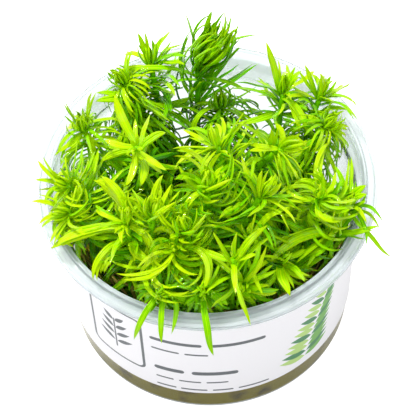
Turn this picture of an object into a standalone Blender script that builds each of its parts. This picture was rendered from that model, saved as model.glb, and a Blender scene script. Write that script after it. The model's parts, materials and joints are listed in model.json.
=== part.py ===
"""A clear flanged cup of nutrient gel with narrow-leaved aquarium shoots growing in it.

The cup stands on its flat base at the origin, +Z is up and -Y is the front, where the label is.
Lengths in this file are in millimetres until a mesh is made. The object is made in metres.
"""

import math
import random
from collections import namedtuple

import bpy
from mathutils import Quaternion, Vector
from mathutils.bvhtree import BVHTree

MM = 0.001
UP = Vector((0, 0, 1))

# Cup: one moulded piece of thin clear plastic with a flat base and a wide turned-down flange.
CUP_HEIGHT = 55.0
RIM_RADIUS = 45.0
MOUTH_RADIUS = 40.6
WALL_TOP_RADIUS = 39.6
WALL_FOOT_RADIUS = 38.2
WALL = 0.8
LEDGE_Z = 49.6
LIP_THICKNESS, LIP_DROP = 0.8, 1.9
CUP_SIDES = 36

# Gel and label keep this gap to the cup.
GAP = 0.3
GEL_TOP = 15.0
LABEL_LOW, LABEL_HIGH = 10.2, 48.4
LABEL_THICKNESS = 0.3
LABEL_HALF_ANGLE = math.radians(78)
LABEL_SIDES = 20

# Shoots: a five-sided stem, with a leaf on each side at every whorl.
STEM_SIDES = 5
STEM_FOOT_RADIUS, STEM_TIP_RADIUS = 1.15, 0.8
WHORL_DEPTH = 0.8
BUD_LENGTH = 2.5
LEAF_THICKNESS = 0.55
LEAF_STEPS = 12
LEAF_MARGIN = 0.6        # from a leaf to the cup
SWAY = math.radians(55)  # how far a stated leaf may curl to either side
LEAD = 0.3               # share of its swirl by which a leaf sets off to the other side

# Shares of a stem's length where its leaves start, on tall and short shoots, and where they end.
HEAD_START, SHORT_HEAD_START, HEAD_TOP = 0.62, 0.7, 0.97

# A stem bends this share of its height below the crown, and stands this much nearer the cup's axis.
BEND_SHARE, FOOT_SHARE = 0.32, 0.85
FOOT_LIMIT, BEND_LIMIT = 35.5, 36.0

# A leaf that finds no room is moved and tried again this often, from this many sides of its stem if its
# tip is stated; a stem is tried this often, a little further out each time.
TRIES = 5
SIDES_TRIED = 4
STEM_TRIES = 90
STEM_STEP = 1.2

# How the leaves of a head stand, from its lowest whorl to its top one: spread is the angle from
# the stem at the leaf's root, droop how far the leaf bends down to its tip, swirl how far sideways
# and sweep the share of the way that its tip turns to where the head's leaves lean together.
Habit = namedtuple("Habit", "spread_low spread_top droop swirl sweep")
HABITS = {
    "star": Habit(88, 62, 40, 10, 0),
    "brush": Habit(56, 28, -30, 0, 0.8),
    "fountain": Habit(70, 58, 120, 50, 0),
    "curl": Habit(78, 60, 10, 190, 0),
    "nest": Habit(84, 62, -50, 90, 0.15),
    "mixed": Habit(74, 50, 60, 60, 0.35),
}
SWEPT_TILT = math.radians(62)

# crown is the middle of the head in mm, tilt its angle from the vertical and toward the heading of
# that tilt (0 is +X, 90 the back, -90 the front).
Shoot = namedtuple("Shoot", "name crown tilt toward habit leaf_length whorls")
HEADS = (
    Shoot("plume", (0, 31, 66), 10, 20, "brush", 15, 3),
    Shoot("back_left", (-14, 34, 61), 30, 110, "mixed", 14, 3),
    Shoot("arch", (-21, 28, 61), 38, 150, "fountain", 14, 3),
    Shoot("tuft_left", (-32, 13, 62), 22, 140, "fountain", 14, 3),
    Shoot("edge_left", (-36, -5, 62), 48, 180, "curl", 14, 3),
    Shoot("edge_low_left", (-36, -12, 60), 60, 188, "curl", 14, 3),
    Shoot("star", (-18, 0, 71), 30, -95, "star", 9, 3),
    Shoot("hand", (-21, -19, 65), 20, 120, "mixed", 12, 3),
    Shoot("rosette", (-14, -19, 68), 32, 75, "nest", 12, 3),
    Shoot("ring", (-9, -27, 64), 22, -90, "curl", 17, 3),
    Shoot("front_left", (-12, -36, 59), 45, -100, "fountain", 14, 3),
    Shoot("front", (-2, -37, 59), 45, -85, "fountain", 14, 3),
    Shoot("middle", (0, -13, 71), 14, 95, "nest", 13, 3),
    Shoot("middle_low", (-6, -23, 67), 16, 140, "nest", 10, 3),
    Shoot("front_star", (6, -32, 66), 32, 88, "star", 13, 3),
    Shoot("front_low", (8, -35, 58), 48, -75, "mixed", 13, 2),
    Shoot("back", (3, 0, 70), 38, 125, "mixed", 14, 3),
    Shoot("fan", (20, 0, 68), 58, 5, "mixed", 13, 3),
    Shoot("back_right", (21, 22, 62), 28, 75, "mixed", 14, 3),
    Shoot("edge_back_right", (31, 22, 60), 34, 50, "mixed", 14, 3),
    Shoot("head_right", (32, 11, 62), 38, 20, "fountain", 12, 3),
    Shoot("swirl", (29, -13, 64), 16, 160, "curl", 14, 3),
    Shoot("edge_right", (36, -12, 58), 8, -20, "mixed", 14, 3),
    Shoot("broad", (32, -19, 56), 25, -150, "mixed", 14, 2),
    Shoot("pair", (10, -24, 64), 30, 75, "star", 13, 3),
    Shoot("front_right", (18, -26, 55), 12, -40, "mixed", 14, 2),
    Shoot("middle_right", (14, -14, 68), 48, 35, "mixed", 14, 3),
)

# Leaves that stand out, by head: tip in mm, widest width, the angle that each bends down through and,
# where it is seen to curl sideways, the angle of that.
Reach = namedtuple("Reach", "tip width bend swirl", defaults=(None,))
REACHES = {
    "plume": (
        Reach((-4, 36, 80), 1.2, -20, 30), Reach((3, 35, 82), 1.4, -70, -20),
        Reach((6, 35, 82), 1.4, -60, 20), Reach((8, 35, 80), 1.4, -40, 10),
        Reach((10, 34, 78), 1.4, -30, 0), Reach((9, 34, 76), 1.4, 20, 10),
        Reach((15, 34, 69), 1.8, 75, -10), Reach((-22, 31, 62), 1.6, 55), Reach((13, 26, 57), 1.6, 70),
        Reach((10, 25, 55), 1.5, 40),
    ),
    "back_left": (
        Reach((-17, 39, 69), 1.8, 10), Reach((-8, 40, 68), 1.4, -12), Reach((-8, 39, 65), 1.4, 20),
        Reach((-22, 30, 59), 1.6, 110),
    ),
    "arch": (
        Reach((-25, 30, 65), 1.4, 15), Reach((-24, 29, 62), 1.2, 20), Reach((-29, 24, 59), 2.2, 50),
        Reach((-20, 37, 64), 1.5, 80),
    ),
    "tuft_left": (
        Reach((-36, 14, 73), 1.3, -6), Reach((-29, 16, 74), 1.3, 4), Reach((-40, 8, 57), 1.5, 80),
        Reach((-38, 3, 57), 1.5, 85), Reach((-35, 4, 57), 1.4, 80), Reach((-29, 8, 58), 1.5, 90),
        Reach((-27, 7, 61), 1.3, 100, 60), Reach((-39, 7, 60), 1.3, 100, -60),
    ),
    "edge_left": (
        Reach((-44, 3, 63), 1.4, 20), Reach((-45, -2, 61), 1.6, 30), Reach((-40, -3, 67), 1.4, -20),
        Reach((-28, 5, 64), 1.6, 30),
    ),
    "edge_low_left": (
        Reach((-46, -8, 60), 1.5, 35), Reach((-44, -14, 58), 1.6, 40), Reach((-41, -20, 58), 1.6, 45),
        Reach((-38, -19, 58), 1.6, 60), Reach((-30, -15, 62), 1.5, 40), Reach((-33, -8, 66), 1.4, -20),
    ),
    "star": (
        Reach((-26, 3, 71), 2.0, 22), Reach((-23, 12, 78), 2.5, 10), Reach((-14, 6, 77), 2.2, 12),
        Reach((-10, 3, 73), 2.4, 18), Reach((-10, -7, 70), 2.2, 25), Reach((-17, -10, 68), 2.4, 30),
        Reach((-21, -10, 68), 2.0, 30), Reach((-27, -2, 68), 2.2, 30),
    ),
    "hand": (
        Reach((-29, -9, 70), 3.0, 45, 80), Reach((-27, -9, 72), 2.4, 40, 70),
        Reach((-41, -21, 57), 3.0, 30, 15), Reach((-15, -29, 61), 2.8, 40, 70),
        Reach((-14, -27, 61), 2.0, 80, -80), Reach((-30, -31, 57), 1.8, 60, 80),
        Reach((-20, -20, 74), 1.5, 14),
    ),
    "rosette": (
        Reach((-11, -10, 73), 1.8, 15), Reach((-9, -13, 73), 1.6, 18), Reach((-9, -20, 66), 1.5, 60),
        Reach((-13, -26, 63), 1.8, 45), Reach((-18, -17, 74), 1.4, -20),
    ),
    "ring": (
        Reach((-5, -38, 62), 1.4, 10, 215), Reach((-6, -39, 62), 1.4, 10, -190),
        Reach((-7, -41, 61), 1.3, 10, 190), Reach((-3, -39, 61), 1.4, 20, -160),
        Reach((-18, -32, 60), 1.4, 60, 60), Reach((-9, -33, 63), 1.2, 20, 60),
    ),
    "front_left": (
        Reach((-20, -46, 52), 1.7, 80), Reach((-13, -48, 53), 1.6, 90), Reach((-11, -47, 56), 1.5, 80),
        Reach((-18, -41, 56), 1.5, 60),
    ),
    "front": (Reach((0, -51, 51), 1.9, 105), Reach((-7, -39, 56), 1.7, 60), Reach((4, -40, 57), 1.6, 60)),
    "middle": (
        Reach((-7, -9, 75), 1.5, -15), Reach((-6, -18, 70), 1.4, 60), Reach((5, -14, 72), 1.4, 60),
        Reach((4, -9, 74), 1.4, -25),
    ),
    "front_star": (
        Reach((1, -28, 73), 1.8, 8), Reach((7, -29, 74), 1.2, 5), Reach((15, -24, 69), 2.1, 20),
        Reach((16, -26, 67), 1.8, 25), Reach((12, -30, 65), 1.6, 30), Reach((-2, -27, 64), 2.1, 30),
    ),
    "front_low": (
        Reach((-1, -36, 61), 1.6, 55), Reach((17, -31, 59), 1.6, 35), Reach((15, -35, 58), 1.5, 40),
        Reach((13, -38, 57), 1.5, 45),
    ),
    "back": (Reach((-6, 6, 70), 1.6, 35), Reach((6, -5, 72), 1.4, 20), Reach((9, -5, 75), 1.6, 10)),
    "fan": (
        Reach((25, -1, 69), 1.6, 25), Reach((24, 1, 72), 1.5, 10), Reach((20, -6, 65), 2.0, 55),
        Reach((11, -1, 69), 1.8, 35), Reach((17, 3, 73), 1.5, 10),
    ),
    "back_right": (
        Reach((17, 32, 72), 2.2, 14), Reach((26, 24, 69), 2.4, 20), Reach((18, 31, 66), 1.4, 45),
        Reach((14, 26, 63), 1.4, 50), Reach((8, 14, 60), 2.2, 30), Reach((27, 10, 60), 2.2, 45),
    ),
    "edge_back_right": (
        Reach((27, 27, 68), 1.6, 16), Reach((31, 23, 69), 1.4, 5), Reach((37, 20, 62), 1.5, 30),
        Reach((38, 18, 59), 1.6, 35), Reach((25, 19, 62), 2.0, 35),
    ),
    "head_right": (
        Reach((38, 11, 61), 1.4, 30), Reach((37, 15, 63), 1.4, 20), Reach((27, 12, 65), 1.8, 40),
    ),
    "swirl": (
        Reach((22, -12, 62), 1.4, 40, 150), Reach((23, -17, 59), 1.4, 50, 140),
        Reach((22, -9, 64), 1.3, 30, 150), Reach((32, 5, 63), 2.2, 25), Reach((25, -8, 68), 1.3, 20, 120),
    ),
    "edge_right": (
        Reach((41, -9, 63), 2.4, 12), Reach((47, -23, 50), 1.4, 80), Reach((38, -16, 59), 1.6, 45),
        Reach((38, 3, 59), 1.2, 60), Reach((30, -19, 58), 1.6, 50),
    ),
    "broad": (
        Reach((15, -28, 57), 2.5, 20), Reach((22, -27, 55), 1.8, 30), Reach((13, -24, 62), 2.1, 25),
    ),
    "pair": (Reach((21, -18, 68), 2.1, 28), Reach((19, -16, 69), 2.1, 28), Reach((12, -21, 71), 1.5, 20)),
    "front_right": (
        Reach((20, -38, 57), 2.5, 50), Reach((24, -34, 57), 1.8, 50), Reach((31, -20, 54), 2.4, 25),
    ),
    "middle_right": (
        Reach((9, -7, 76), 1.6, 12), Reach((14, -14, 79), 1.4, 8), Reach((19, -12, 70), 1.8, 30),
    ),
}

# Low shoots fill the cup under the heads, spaced round it by the golden angle.
LOW_SHOOTS = 12
LOW_RADIUS = 31.0
LOW_START = math.radians(60)
LOW_CROWNS = (40.0, 46.0, 52.0)
LOW_TILT = 20
LOW_LEAF_LENGTH = 14
GOLDEN_ANGLE = math.radians(137.5)

COLOURS = {
    "cup": ((0.86, 0.93, 0.93, 1), 0.12),
    "label": ((0.9, 0.9, 0.9, 1), 0.45),
    "gel": ((0.45, 0.41, 0.23, 1), 0.2),
    "leaf": ((0.22, 0.52, 0.02, 1), 0.4),
}


def clear_scene():
    for thing in list(bpy.data.objects):
        bpy.data.objects.remove(thing, do_unlink=True)


def material(name):
    """The named plain material, made once."""
    made = bpy.data.materials.get(name)
    if made:
        return made
    colour, roughness = COLOURS[name]
    made = bpy.data.materials.new(name)
    made.use_nodes = True
    shader = made.node_tree.nodes["Principled BSDF"]
    shader.inputs["Base Color"].default_value = colour
    shader.inputs["Roughness"].default_value = roughness
    return made


def add_object(name, points, faces, finish, smooth_angle=None):
    """One object in metres from points in millimetres."""
    mesh = bpy.data.meshes.new(name)
    mesh.from_pydata([tuple(c * MM for c in point) for point in points], [], faces)
    mesh.materials.append(material(finish))
    if smooth_angle:
        mesh.shade_smooth()
        mesh.set_sharp_from_angle(angle=math.radians(smooth_angle))
    thing = bpy.data.objects.new(name, mesh)
    bpy.context.scene.collection.objects.link(thing)
    return thing


def turned(profile, sides):
    """A closed solid turned about Z from (radius, z) pairs that start and end on the axis."""
    points, rings = [], []
    for radius, z in profile:
        if radius == 0:
            rings.append([len(points)])
            points.append((0, 0, z))
            continue
        rings.append(list(range(len(points), len(points) + sides)))
        for i in range(sides):
            turn = math.tau * i / sides
            points.append((radius * math.cos(turn), radius * math.sin(turn), z))
    faces = []
    for below, above in zip(rings, rings[1:]):
        for i in range(sides):
            j = (i + 1) % sides
            if len(below) == 1:
                faces.append((below[0], above[j], above[i]))
            elif len(above) == 1:
                faces.append((below[i], below[j], above[0]))
            else:
                faces.append((below[i], below[j], above[j], above[i]))
    return points, faces


def wall_radius(z):
    """Outer radius of the cup's wall at a height."""
    return WALL_FOOT_RADIUS + (WALL_TOP_RADIUS - WALL_FOOT_RADIUS) * z / LEDGE_Z


def inner_radius(z):
    """Radius of the space inside the cup at a height."""
    return MOUTH_RADIUS if z > LEDGE_Z + WALL else wall_radius(z) - WALL


def cup_profile():
    """Half the cup's section: its outside from the base up, the flange's top, then the inside down."""
    lip = RIM_RADIUS - LIP_THICKNESS
    outside = [
        (0, 0), (WALL_FOOT_RADIUS - 1.8, 0), (WALL_FOOT_RADIUS, 1.8), (WALL_TOP_RADIUS, LEDGE_Z),
        (WALL_TOP_RADIUS + 2, CUP_HEIGHT - 1.5), (lip, CUP_HEIGHT - 1.3), (lip, CUP_HEIGHT - LIP_DROP),
    ]
    top = [
        (RIM_RADIUS, CUP_HEIGHT - LIP_DROP), (RIM_RADIUS, CUP_HEIGHT - 0.6),
        (MOUTH_RADIUS + 1.6, CUP_HEIGHT - 0.6), (MOUTH_RADIUS + 1.1, CUP_HEIGHT),
        (MOUTH_RADIUS, CUP_HEIGHT),
    ]
    inside = [
        (MOUTH_RADIUS, LEDGE_Z + WALL), (WALL_TOP_RADIUS - WALL, LEDGE_Z),
        (WALL_FOOT_RADIUS - WALL, 2.4), (WALL_FOOT_RADIUS - 2.4, WALL), (0, WALL),
    ]
    return outside + top + inside


def make_cup():
    points, faces = turned(cup_profile(), CUP_SIDES)
    add_object("cup", points, faces, "cup", 35)


def make_gel():
    low = WALL + GAP
    edge = WALL_FOOT_RADIUS - WALL - GAP
    profile = [
        (0, low), (edge - 1.6, low), (edge, low + 1.6),
        (inner_radius(GEL_TOP) - GAP, GEL_TOP), (0, GEL_TOP),
    ]
    points, faces = turned(profile, CUP_SIDES)
    add_object("gel", points, faces, "gel", 35)


def make_label():
    """A thin band round the front of the wall, closed at its two ends."""
    points, faces = [], []
    for i in range(LABEL_SIDES + 1):
        turn = -math.pi / 2 + LABEL_HALF_ANGLE * (2 * i / LABEL_SIDES - 1)
        for z, out in ((LABEL_LOW, 0), (LABEL_LOW, 1), (LABEL_HIGH, 1), (LABEL_HIGH, 0)):
            radius = wall_radius(z) + GAP + out * LABEL_THICKNESS
            points.append((radius * math.cos(turn), radius * math.sin(turn), z))
    for i in range(LABEL_SIDES):
        a, b = 4 * i, 4 * i + 4
        for k in range(4):
            n = (k + 1) % 4
            faces.append((a + k, b + k, b + n, a + n))
    faces.append((0, 1, 2, 3))
    last = 4 * LABEL_SIDES
    faces.append((last + 3, last + 2, last + 1, last))
    add_object("label", points, faces, "label", 35)


def bent_path(root, aim, face, length, droop, swirl):
    """Points and frames (across, face) along a leaf that bends evenly by droop and swirl."""
    along = aim.normalized()
    across = face.cross(along).normalized()
    face = along.cross(across)
    point, frames = root.copy(), [(root.copy(), across.copy(), face.copy())]
    part = 0.5 / LEAF_STEPS
    for _ in range(LEAF_STEPS):
        for moves in (False, True):
            turn = Quaternion(-across, -droop * part) @ Quaternion(face, swirl * part)
            along, across, face = turn @ along, turn @ across, turn @ face
            if not moves:
                point = point + along * (length / LEAF_STEPS)
        frames.append((point.copy(), across.copy(), face.copy()))
    return frames


def leaf_width(share):
    """Width along a leaf as a share of its widest: a narrow foot, an even blade, then a point."""
    return (1 - share ** 3.4) * (0.6 + 0.8 * share) / 0.94


def blade(frames, width, thickness, sections, boxed=False):
    """Rings of a leaf at the given steps, keeled below and flat above, or boxed in, and its tip."""
    rings = []
    for step in sections:
        point, across, face = frames[step]
        a = across * (leaf_width(step / LEAF_STEPS) * width / 2)
        f = face * (thickness / 2)
        if boxed:
            a = across * (leaf_width(step / LEAF_STEPS) * (width - thickness) / 2 + thickness / 2)
            rings.append([point - a - f, point + a - f, point + a + f, point - a + f])
        else:
            rings.append([point - f, point + a + f, point - a + f])
    return rings, frames[-1][0]


def skin(points, faces, base, rings, tip):
    """Adds a blade's faces from the four points at base to its tip."""
    for ring in rings:
        new = list(range(len(points), len(points) + len(ring)))
        points.extend(ring)
        if len(base) == len(new):
            count = len(new)
            for k in range(count):
                faces.append((base[k], base[(k + 1) % count], new[(k + 1) % count], new[k]))
        else:
            keel, right, left = new
            faces.append((base[0], base[1], keel))
            faces.append((base[1], base[2], right, keel))
            faces.append((base[2], base[3], left, right))
            faces.append((base[3], base[0], keel, left))
        base = new
    points.append(tip)
    faces.extend((base[k], base[(k + 1) % len(base)], len(points) - 1) for k in range(len(base)))


def leaf_skin(corners, frames, width, thickness, sections, boxed=False):
    """One leaf on its own, from the corners of its root."""
    points, faces = list(corners), []
    skin(points, faces, (0, 1, 2, 3), *blade(frames, width, thickness, sections, boxed))
    return points, faces


def past_root(points, faces):
    """A leaf without the stretch that its neighbours on the stem touch."""
    return points[4:], [tuple(k - 4 for k in face) for face in faces if min(face) > 3]


class Crowd:
    """What has been placed so far, for keeping each new leaf clear of the rest."""

    def __init__(self):
        self.placed = []

    def add(self, owner, points, faces):
        self.placed.append((owner, bounds(points), BVHTree.FromPolygons(points, faces)))

    def touches(self, points, faces, owners=None, skipped=()):
        """True if the shape crosses what these owners have placed, or what anyone has."""
        box = bounds(points)
        tree = BVHTree.FromPolygons(points, faces)
        for other, other_box, other_tree in self.placed:
            if other in skipped or (owners and other not in owners):
                continue
            if any(a[0] > b[1] or b[0] > a[1] for a, b in zip(box, other_box)):
                continue
            if tree.overlap(other_tree):
                return True
        return False


def bounds(points):
    return [(min(p[i] for p in points), max(p[i] for p in points)) for i in range(3)]


def clears_cup(point, margin):
    """True where a point keeps its margin to the cup and the gel."""
    radius = math.hypot(point.x, point.y)
    if point.z > CUP_HEIGHT + margin:
        return True
    if radius > RIM_RADIUS + margin:
        return point.z > margin
    return radius < inner_radius(point.z) - margin and point.z > GEL_TOP + margin


def inward(point, limit):
    """The point, moved towards the cup's axis if it is further out than the limit."""
    share = min(1, limit / max(limit, math.hypot(point.x, point.y)))
    return Vector((point.x * share, point.y * share, point.z))


def stem_path(foot, bend, crown, share):
    """Point and direction on a stem that rises from foot and leans to its crown."""
    point = foot * (1 - share) ** 2 + bend * (2 * share * (1 - share)) + crown * share ** 2
    along = (bend - foot) * (1 - share) + (crown - bend) * share
    return point, along.normalized()


def direction(tilt, toward):
    """Unit vector at an angle from the vertical, toward a heading."""
    return Vector((math.sin(tilt) * math.cos(toward), math.sin(tilt) * math.sin(toward), math.cos(tilt)))


class Growth:
    """One shoot: its stem's rings, and the leaves that found room."""

    def __init__(self, shoot, number, crowd):
        self.shoot, self.crowd = shoot, crowd
        self.chance = random.Random(number)
        tilt, toward = math.radians(shoot.tilt), math.radians(shoot.toward)
        lean = direction(tilt, toward)
        self.swept = direction(SWEPT_TILT, toward)
        self.crown = Vector(shoot.crown)
        self.bend = inward(self.crown - lean * (BEND_SHARE * (self.crown.z - GEL_TOP)), BEND_LIMIT)
        self.first_turn = self.chance.uniform(0, math.tau)
        self.leaves = []
        self.blades = shoot.name + "_blades"
        self.root_stem()

    def root_stem(self):
        """Stands the stem on the gel, at the nearest free place to straight under its bend."""
        straight = self.bend
        for attempt in range(STEM_TRIES):
            turn = attempt * GOLDEN_ANGLE
            shift = Vector((math.cos(turn), math.sin(turn), 0)) * (STEM_STEP * math.sqrt(attempt))
            self.bend = inward(straight - shift * 0.4, BEND_LIMIT)
            under = Vector((straight.x * FOOT_SHARE, straight.y * FOOT_SHARE, GEL_TOP + GAP))
            self.foot = inward(under + shift, FOOT_LIMIT)
            self.make_rings(GAP)
            points, faces = self.stem_skin()
            if not self.crowd.touches(points, faces):
                break
        else:
            raise RuntimeError(f"no room for the stem of {self.shoot.name}")
        self.make_rings(0)
        points, faces = self.stem_skin()
        self.crowd.add(self.shoot.name, points, faces)

    def levels(self):
        """Shares of the stem's length where its whorls are, closer together towards the top."""
        count = self.shoot.whorls
        lowest = HEAD_START if count > 2 else SHORT_HEAD_START
        return [lowest + (HEAD_TOP - lowest) * (i / (count - 1)) ** 0.8 for i in range(count)]

    def ring(self, share, offset, turn, extra):
        point, along = stem_path(self.foot, self.bend, self.crown, share)
        point = point + along * offset
        east = (Vector((1, 0, 0)) - along * along.x).normalized()
        north = along.cross(east)
        radius = STEM_FOOT_RADIUS + (STEM_TIP_RADIUS - STEM_FOOT_RADIUS) * share + extra
        corners = []
        for i in range(STEM_SIDES):
            angle = turn + math.tau * i / STEM_SIDES
            corners.append(point + east * (radius * math.cos(angle)) + north * (radius * math.sin(angle)))
        return corners

    def make_rings(self, extra):
        """Rings up the stem; each whorl is the band between a pair of them."""
        self.rings = [self.ring(0, 0, self.first_turn, extra), self.ring(0.33, 0, self.first_turn, extra)]
        self.whorls = []
        turn = self.first_turn
        for share in self.levels():
            turn += math.pi / STEM_SIDES
            self.whorls.append(len(self.rings))
            self.rings.append(self.ring(share, -WHORL_DEPTH / 2, turn, extra))
            self.rings.append(self.ring(share, WHORL_DEPTH / 2, turn, extra))
        self.bud = self.crown + stem_path(self.foot, self.bend, self.crown, 1)[1] * (BUD_LENGTH + extra)

    def stem_skin(self, bands=None):
        """The stem's points and faces; bands collects the side faces where leaves may grow."""
        points = [corner for ring in self.rings for corner in ring] + [self.bud]
        faces = [tuple(range(STEM_SIDES))[::-1]]
        for r in range(len(self.rings) - 1):
            for i in range(STEM_SIDES):
                low, high, j = r * STEM_SIDES, (r + 1) * STEM_SIDES, (i + 1) % STEM_SIDES
                quad = (low + i, low + j, high + j, high + i)
                if bands is not None and (r, i) in bands:
                    bands[(r, i)] = quad
                else:
                    faces.append(quad)
        top = (len(self.rings) - 1) * STEM_SIDES
        faces.extend((top + i, top + (i + 1) % STEM_SIDES, len(points) - 1) for i in range(STEM_SIDES))
        return points, faces

    def side(self, whorl, i):
        """Middle, outward direction, stem direction and corners of one side of a whorl."""
        low, high = self.rings[self.whorls[whorl]], self.rings[self.whorls[whorl] + 1]
        j = (i + 1) % STEM_SIDES
        corners = (low[i], low[j], high[j], high[i])
        middle = sum(corners, Vector()) / 4
        axis = sum(high, Vector()) / STEM_SIDES - sum(low, Vector()) / STEM_SIDES
        outward = (middle - (sum(low, Vector()) + sum(high, Vector())) / (2 * STEM_SIDES)).normalized()
        return middle, outward, axis.normalized(), corners

    def free_sides(self):
        taken = {(leaf["whorl"], leaf["side"]) for leaf in self.leaves}
        everyone = [(w, i) for w in range(len(self.whorls)) for i in range(STEM_SIDES)]
        return [place for place in everyone if place not in taken]

    def fits(self, frames, width, sections, corners):
        """True if a leaf clears the cup and everything that isn't its own stem."""
        for step in range(3, LEAF_STEPS + 1):
            point, across, _ = frames[step]
            edge = across * (leaf_width(step / LEAF_STEPS) * width / 2)
            if not (clears_cup(point - edge, LEAF_MARGIN) and clears_cup(point + edge, LEAF_MARGIN)):
                return False
        stops = [0] + list(sections) + [LEAF_STEPS]
        for a, b in zip(stops, stops[1:]):
            for share in (0.25, 0.5, 0.75):
                if a and not clears_cup(frames[a][0].lerp(frames[b][0], share), LEAF_MARGIN):
                    return False
        guard = leaf_skin(corners, frames, width + 2 * GAP, LEAF_THICKNESS + 2 * GAP, sections, boxed=True)
        if self.crowd.touches(*guard, skipped=(self.shoot.name, self.blades)):
            return False
        return not self.crowd.touches(*past_root(*guard), owners=(self.blades,))

    def keep(self, whorl, i, frames, width, sections, corners):
        leaf = {"whorl": whorl, "side": i, "frames": frames, "width": width, "sections": sections}
        self.leaves.append(leaf)
        solid = leaf_skin(corners, frames, width, LEAF_THICKNESS, sections)
        self.crowd.add(self.shoot.name, *solid)
        self.crowd.add(self.blades, *past_root(*solid))

    def reach(self, leaf):
        """Grows a leaf whose tip is at a stated place, from the side that faces it best."""
        tip = Vector(leaf.tip)
        sides = []
        for whorl, i in self.free_sides():
            middle, outward, _, _ = self.side(whorl, i)
            way = (tip - middle).normalized()
            sides.append((way.dot(outward) + 0.6 * whorl / len(self.whorls), whorl, i))
        for attempt in range(SIDES_TRIED * TRIES):
            if not sides:
                return
            _, whorl, i = sorted(sides, reverse=True)[min(attempt % SIDES_TRIED, len(sides) - 1)]
            middle, outward, _, corners = self.side(whorl, i)
            times = attempt // SIDES_TRIED
            shift = Vector([self.chance.uniform(-1, 1) for _ in range(3)]) * (0.6 * times)
            bend = math.radians(leaf.bend + 8 * times)
            swirl = self.chance.uniform(-SWAY, SWAY) if leaf.swirl is None else math.radians(leaf.swirl)
            frames = self.aimed(middle, tip + shift, bend, swirl, outward)
            if self.fits(frames, leaf.width, (4, 8), corners):
                self.keep(whorl, i, frames, leaf.width, (4, 8), corners)
                return

    def aimed(self, root, tip, bend, swirl, outward):
        """Frames of a leaf from root to tip that arches over by bend and curls sideways by swirl."""
        target = tip
        for _ in range(8):
            chord = target - root
            up = UP - outward * 0.5
            across = up.cross(chord).normalized()
            face = chord.cross(across).normalized()
            aim = Quaternion(face, -swirl / 2) @ Quaternion(-across, bend / 2) @ chord
            turn = max(0.01, math.hypot(bend, swirl) / 2)
            length = chord.length * turn / math.sin(turn)
            frames = bent_path(root, aim, face, length, bend, swirl)
            target = target + (tip - frames[-1][0])
        return frames

    def sweep(self, aim, face):
        """Droop and swirl that would turn a leaf from its aim to where the head's leaves lean together."""
        turn = aim.normalized().rotation_difference(self.swept)
        across = face.cross(aim).normalized()
        above = aim.cross(across).normalized()
        return turn.angle * turn.axis.dot(across), turn.angle * turn.axis.dot(above)

    def whorl_leaves(self):
        """Fills the sides that are still free with leaves that stand as the habit says."""
        habit = HABITS[self.shoot.habit]
        chance = self.chance
        for whorl, i in self.free_sides():
            middle, outward, axis, corners = self.side(whorl, i)
            height = whorl / max(1, len(self.whorls) - 1)
            for attempt in range(TRIES):
                spread = habit.spread_low + (habit.spread_top - habit.spread_low) * height
                spread = math.radians(spread + chance.uniform(-12, 12))
                droop = math.radians(habit.droop + chance.uniform(-18, 18))
                swirl = math.radians(habit.swirl + chance.uniform(-15, 15))
                turn = Quaternion(axis, chance.uniform(-0.3, 0.3) - LEAD * swirl)
                length = self.shoot.leaf_length * chance.uniform(0.8, 1.12) * (1 - 0.12 * attempt)
                width = chance.uniform(1.1, 1.6)
                aim = turn @ (outward * math.sin(spread) + axis * math.cos(spread))
                face = axis * 0.7 + UP * 0.3
                over, round_to = self.sweep(aim, face)
                droop, swirl = droop + habit.sweep * over, swirl + habit.sweep * round_to
                frames = bent_path(middle, aim, face, length, droop, swirl)
                simple = self.shoot.whorls < 3 or abs(droop) + abs(swirl) < 0.7
                sections = (6,) if simple else (4, 8)
                if self.fits(frames, width, sections, corners):
                    self.keep(whorl, i, frames, width, sections, corners)
                    break


def low_shoots():
    """Short shoots between the tall ones."""
    for i in range(LOW_SHOOTS):
        turn = LOW_START + i * GOLDEN_ANGLE
        reach = LOW_RADIUS * math.sqrt((i + 0.5) / LOW_SHOOTS)
        crown = (reach * math.cos(turn), reach * math.sin(turn), LOW_CROWNS[i % len(LOW_CROWNS)])
        yield Shoot(f"low_{i + 1:02d}", crown, LOW_TILT, math.degrees(turn), "fountain", LOW_LEAF_LENGTH, 2)


def grow():
    """Stems first, then the leaves that stand out, then the rest, each clear of those before it."""
    crowd = Crowd()
    shoots = list(HEADS) + list(low_shoots())
    growths = [Growth(shoot, number, crowd) for number, shoot in enumerate(shoots)]
    for growth in growths:
        for leaf in REACHES.get(growth.shoot.name, ()):
            growth.reach(leaf)
    for growth in growths:
        growth.whorl_leaves()
    return growths


def make_shoot(growth):
    """The shoot as one closed solid, its leaves grown out of the sides of its stem."""
    bands = {(growth.whorls[leaf["whorl"]], leaf["side"]): None for leaf in growth.leaves}
    points, faces = growth.stem_skin(bands)
    for leaf in growth.leaves:
        rings, tip = blade(leaf["frames"], leaf["width"], LEAF_THICKNESS, leaf["sections"])
        skin(points, faces, bands[(growth.whorls[leaf["whorl"]], leaf["side"])], rings, tip)
    add_object("shoot_" + growth.shoot.name, points, faces, "leaf", 50)


def main():
    clear_scene()
    make_cup()
    make_gel()
    make_label()
    for growth in grow():
        make_shoot(growth)


main()
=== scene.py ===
"""Looks of a clear cup of gel with narrow-leaved aquarium shoots, laid out as a Blender add-on.

Every piece is built round the packed model, in its frame: +Z up, -Y to the front, origin under the
middle of the cup's base. Lengths are in millimetres until a mesh is made, then in metres.
"""

import json
import math
import random
from collections import namedtuple

import bpy
import numpy as np
from bpy.props import FloatProperty, FloatVectorProperty, IntProperty, PointerProperty
from mathutils import Matrix, Quaternion, Vector
from mathutils.bvhtree import BVHTree
from mathutils.geometry import delaunay_2d_cdt

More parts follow.
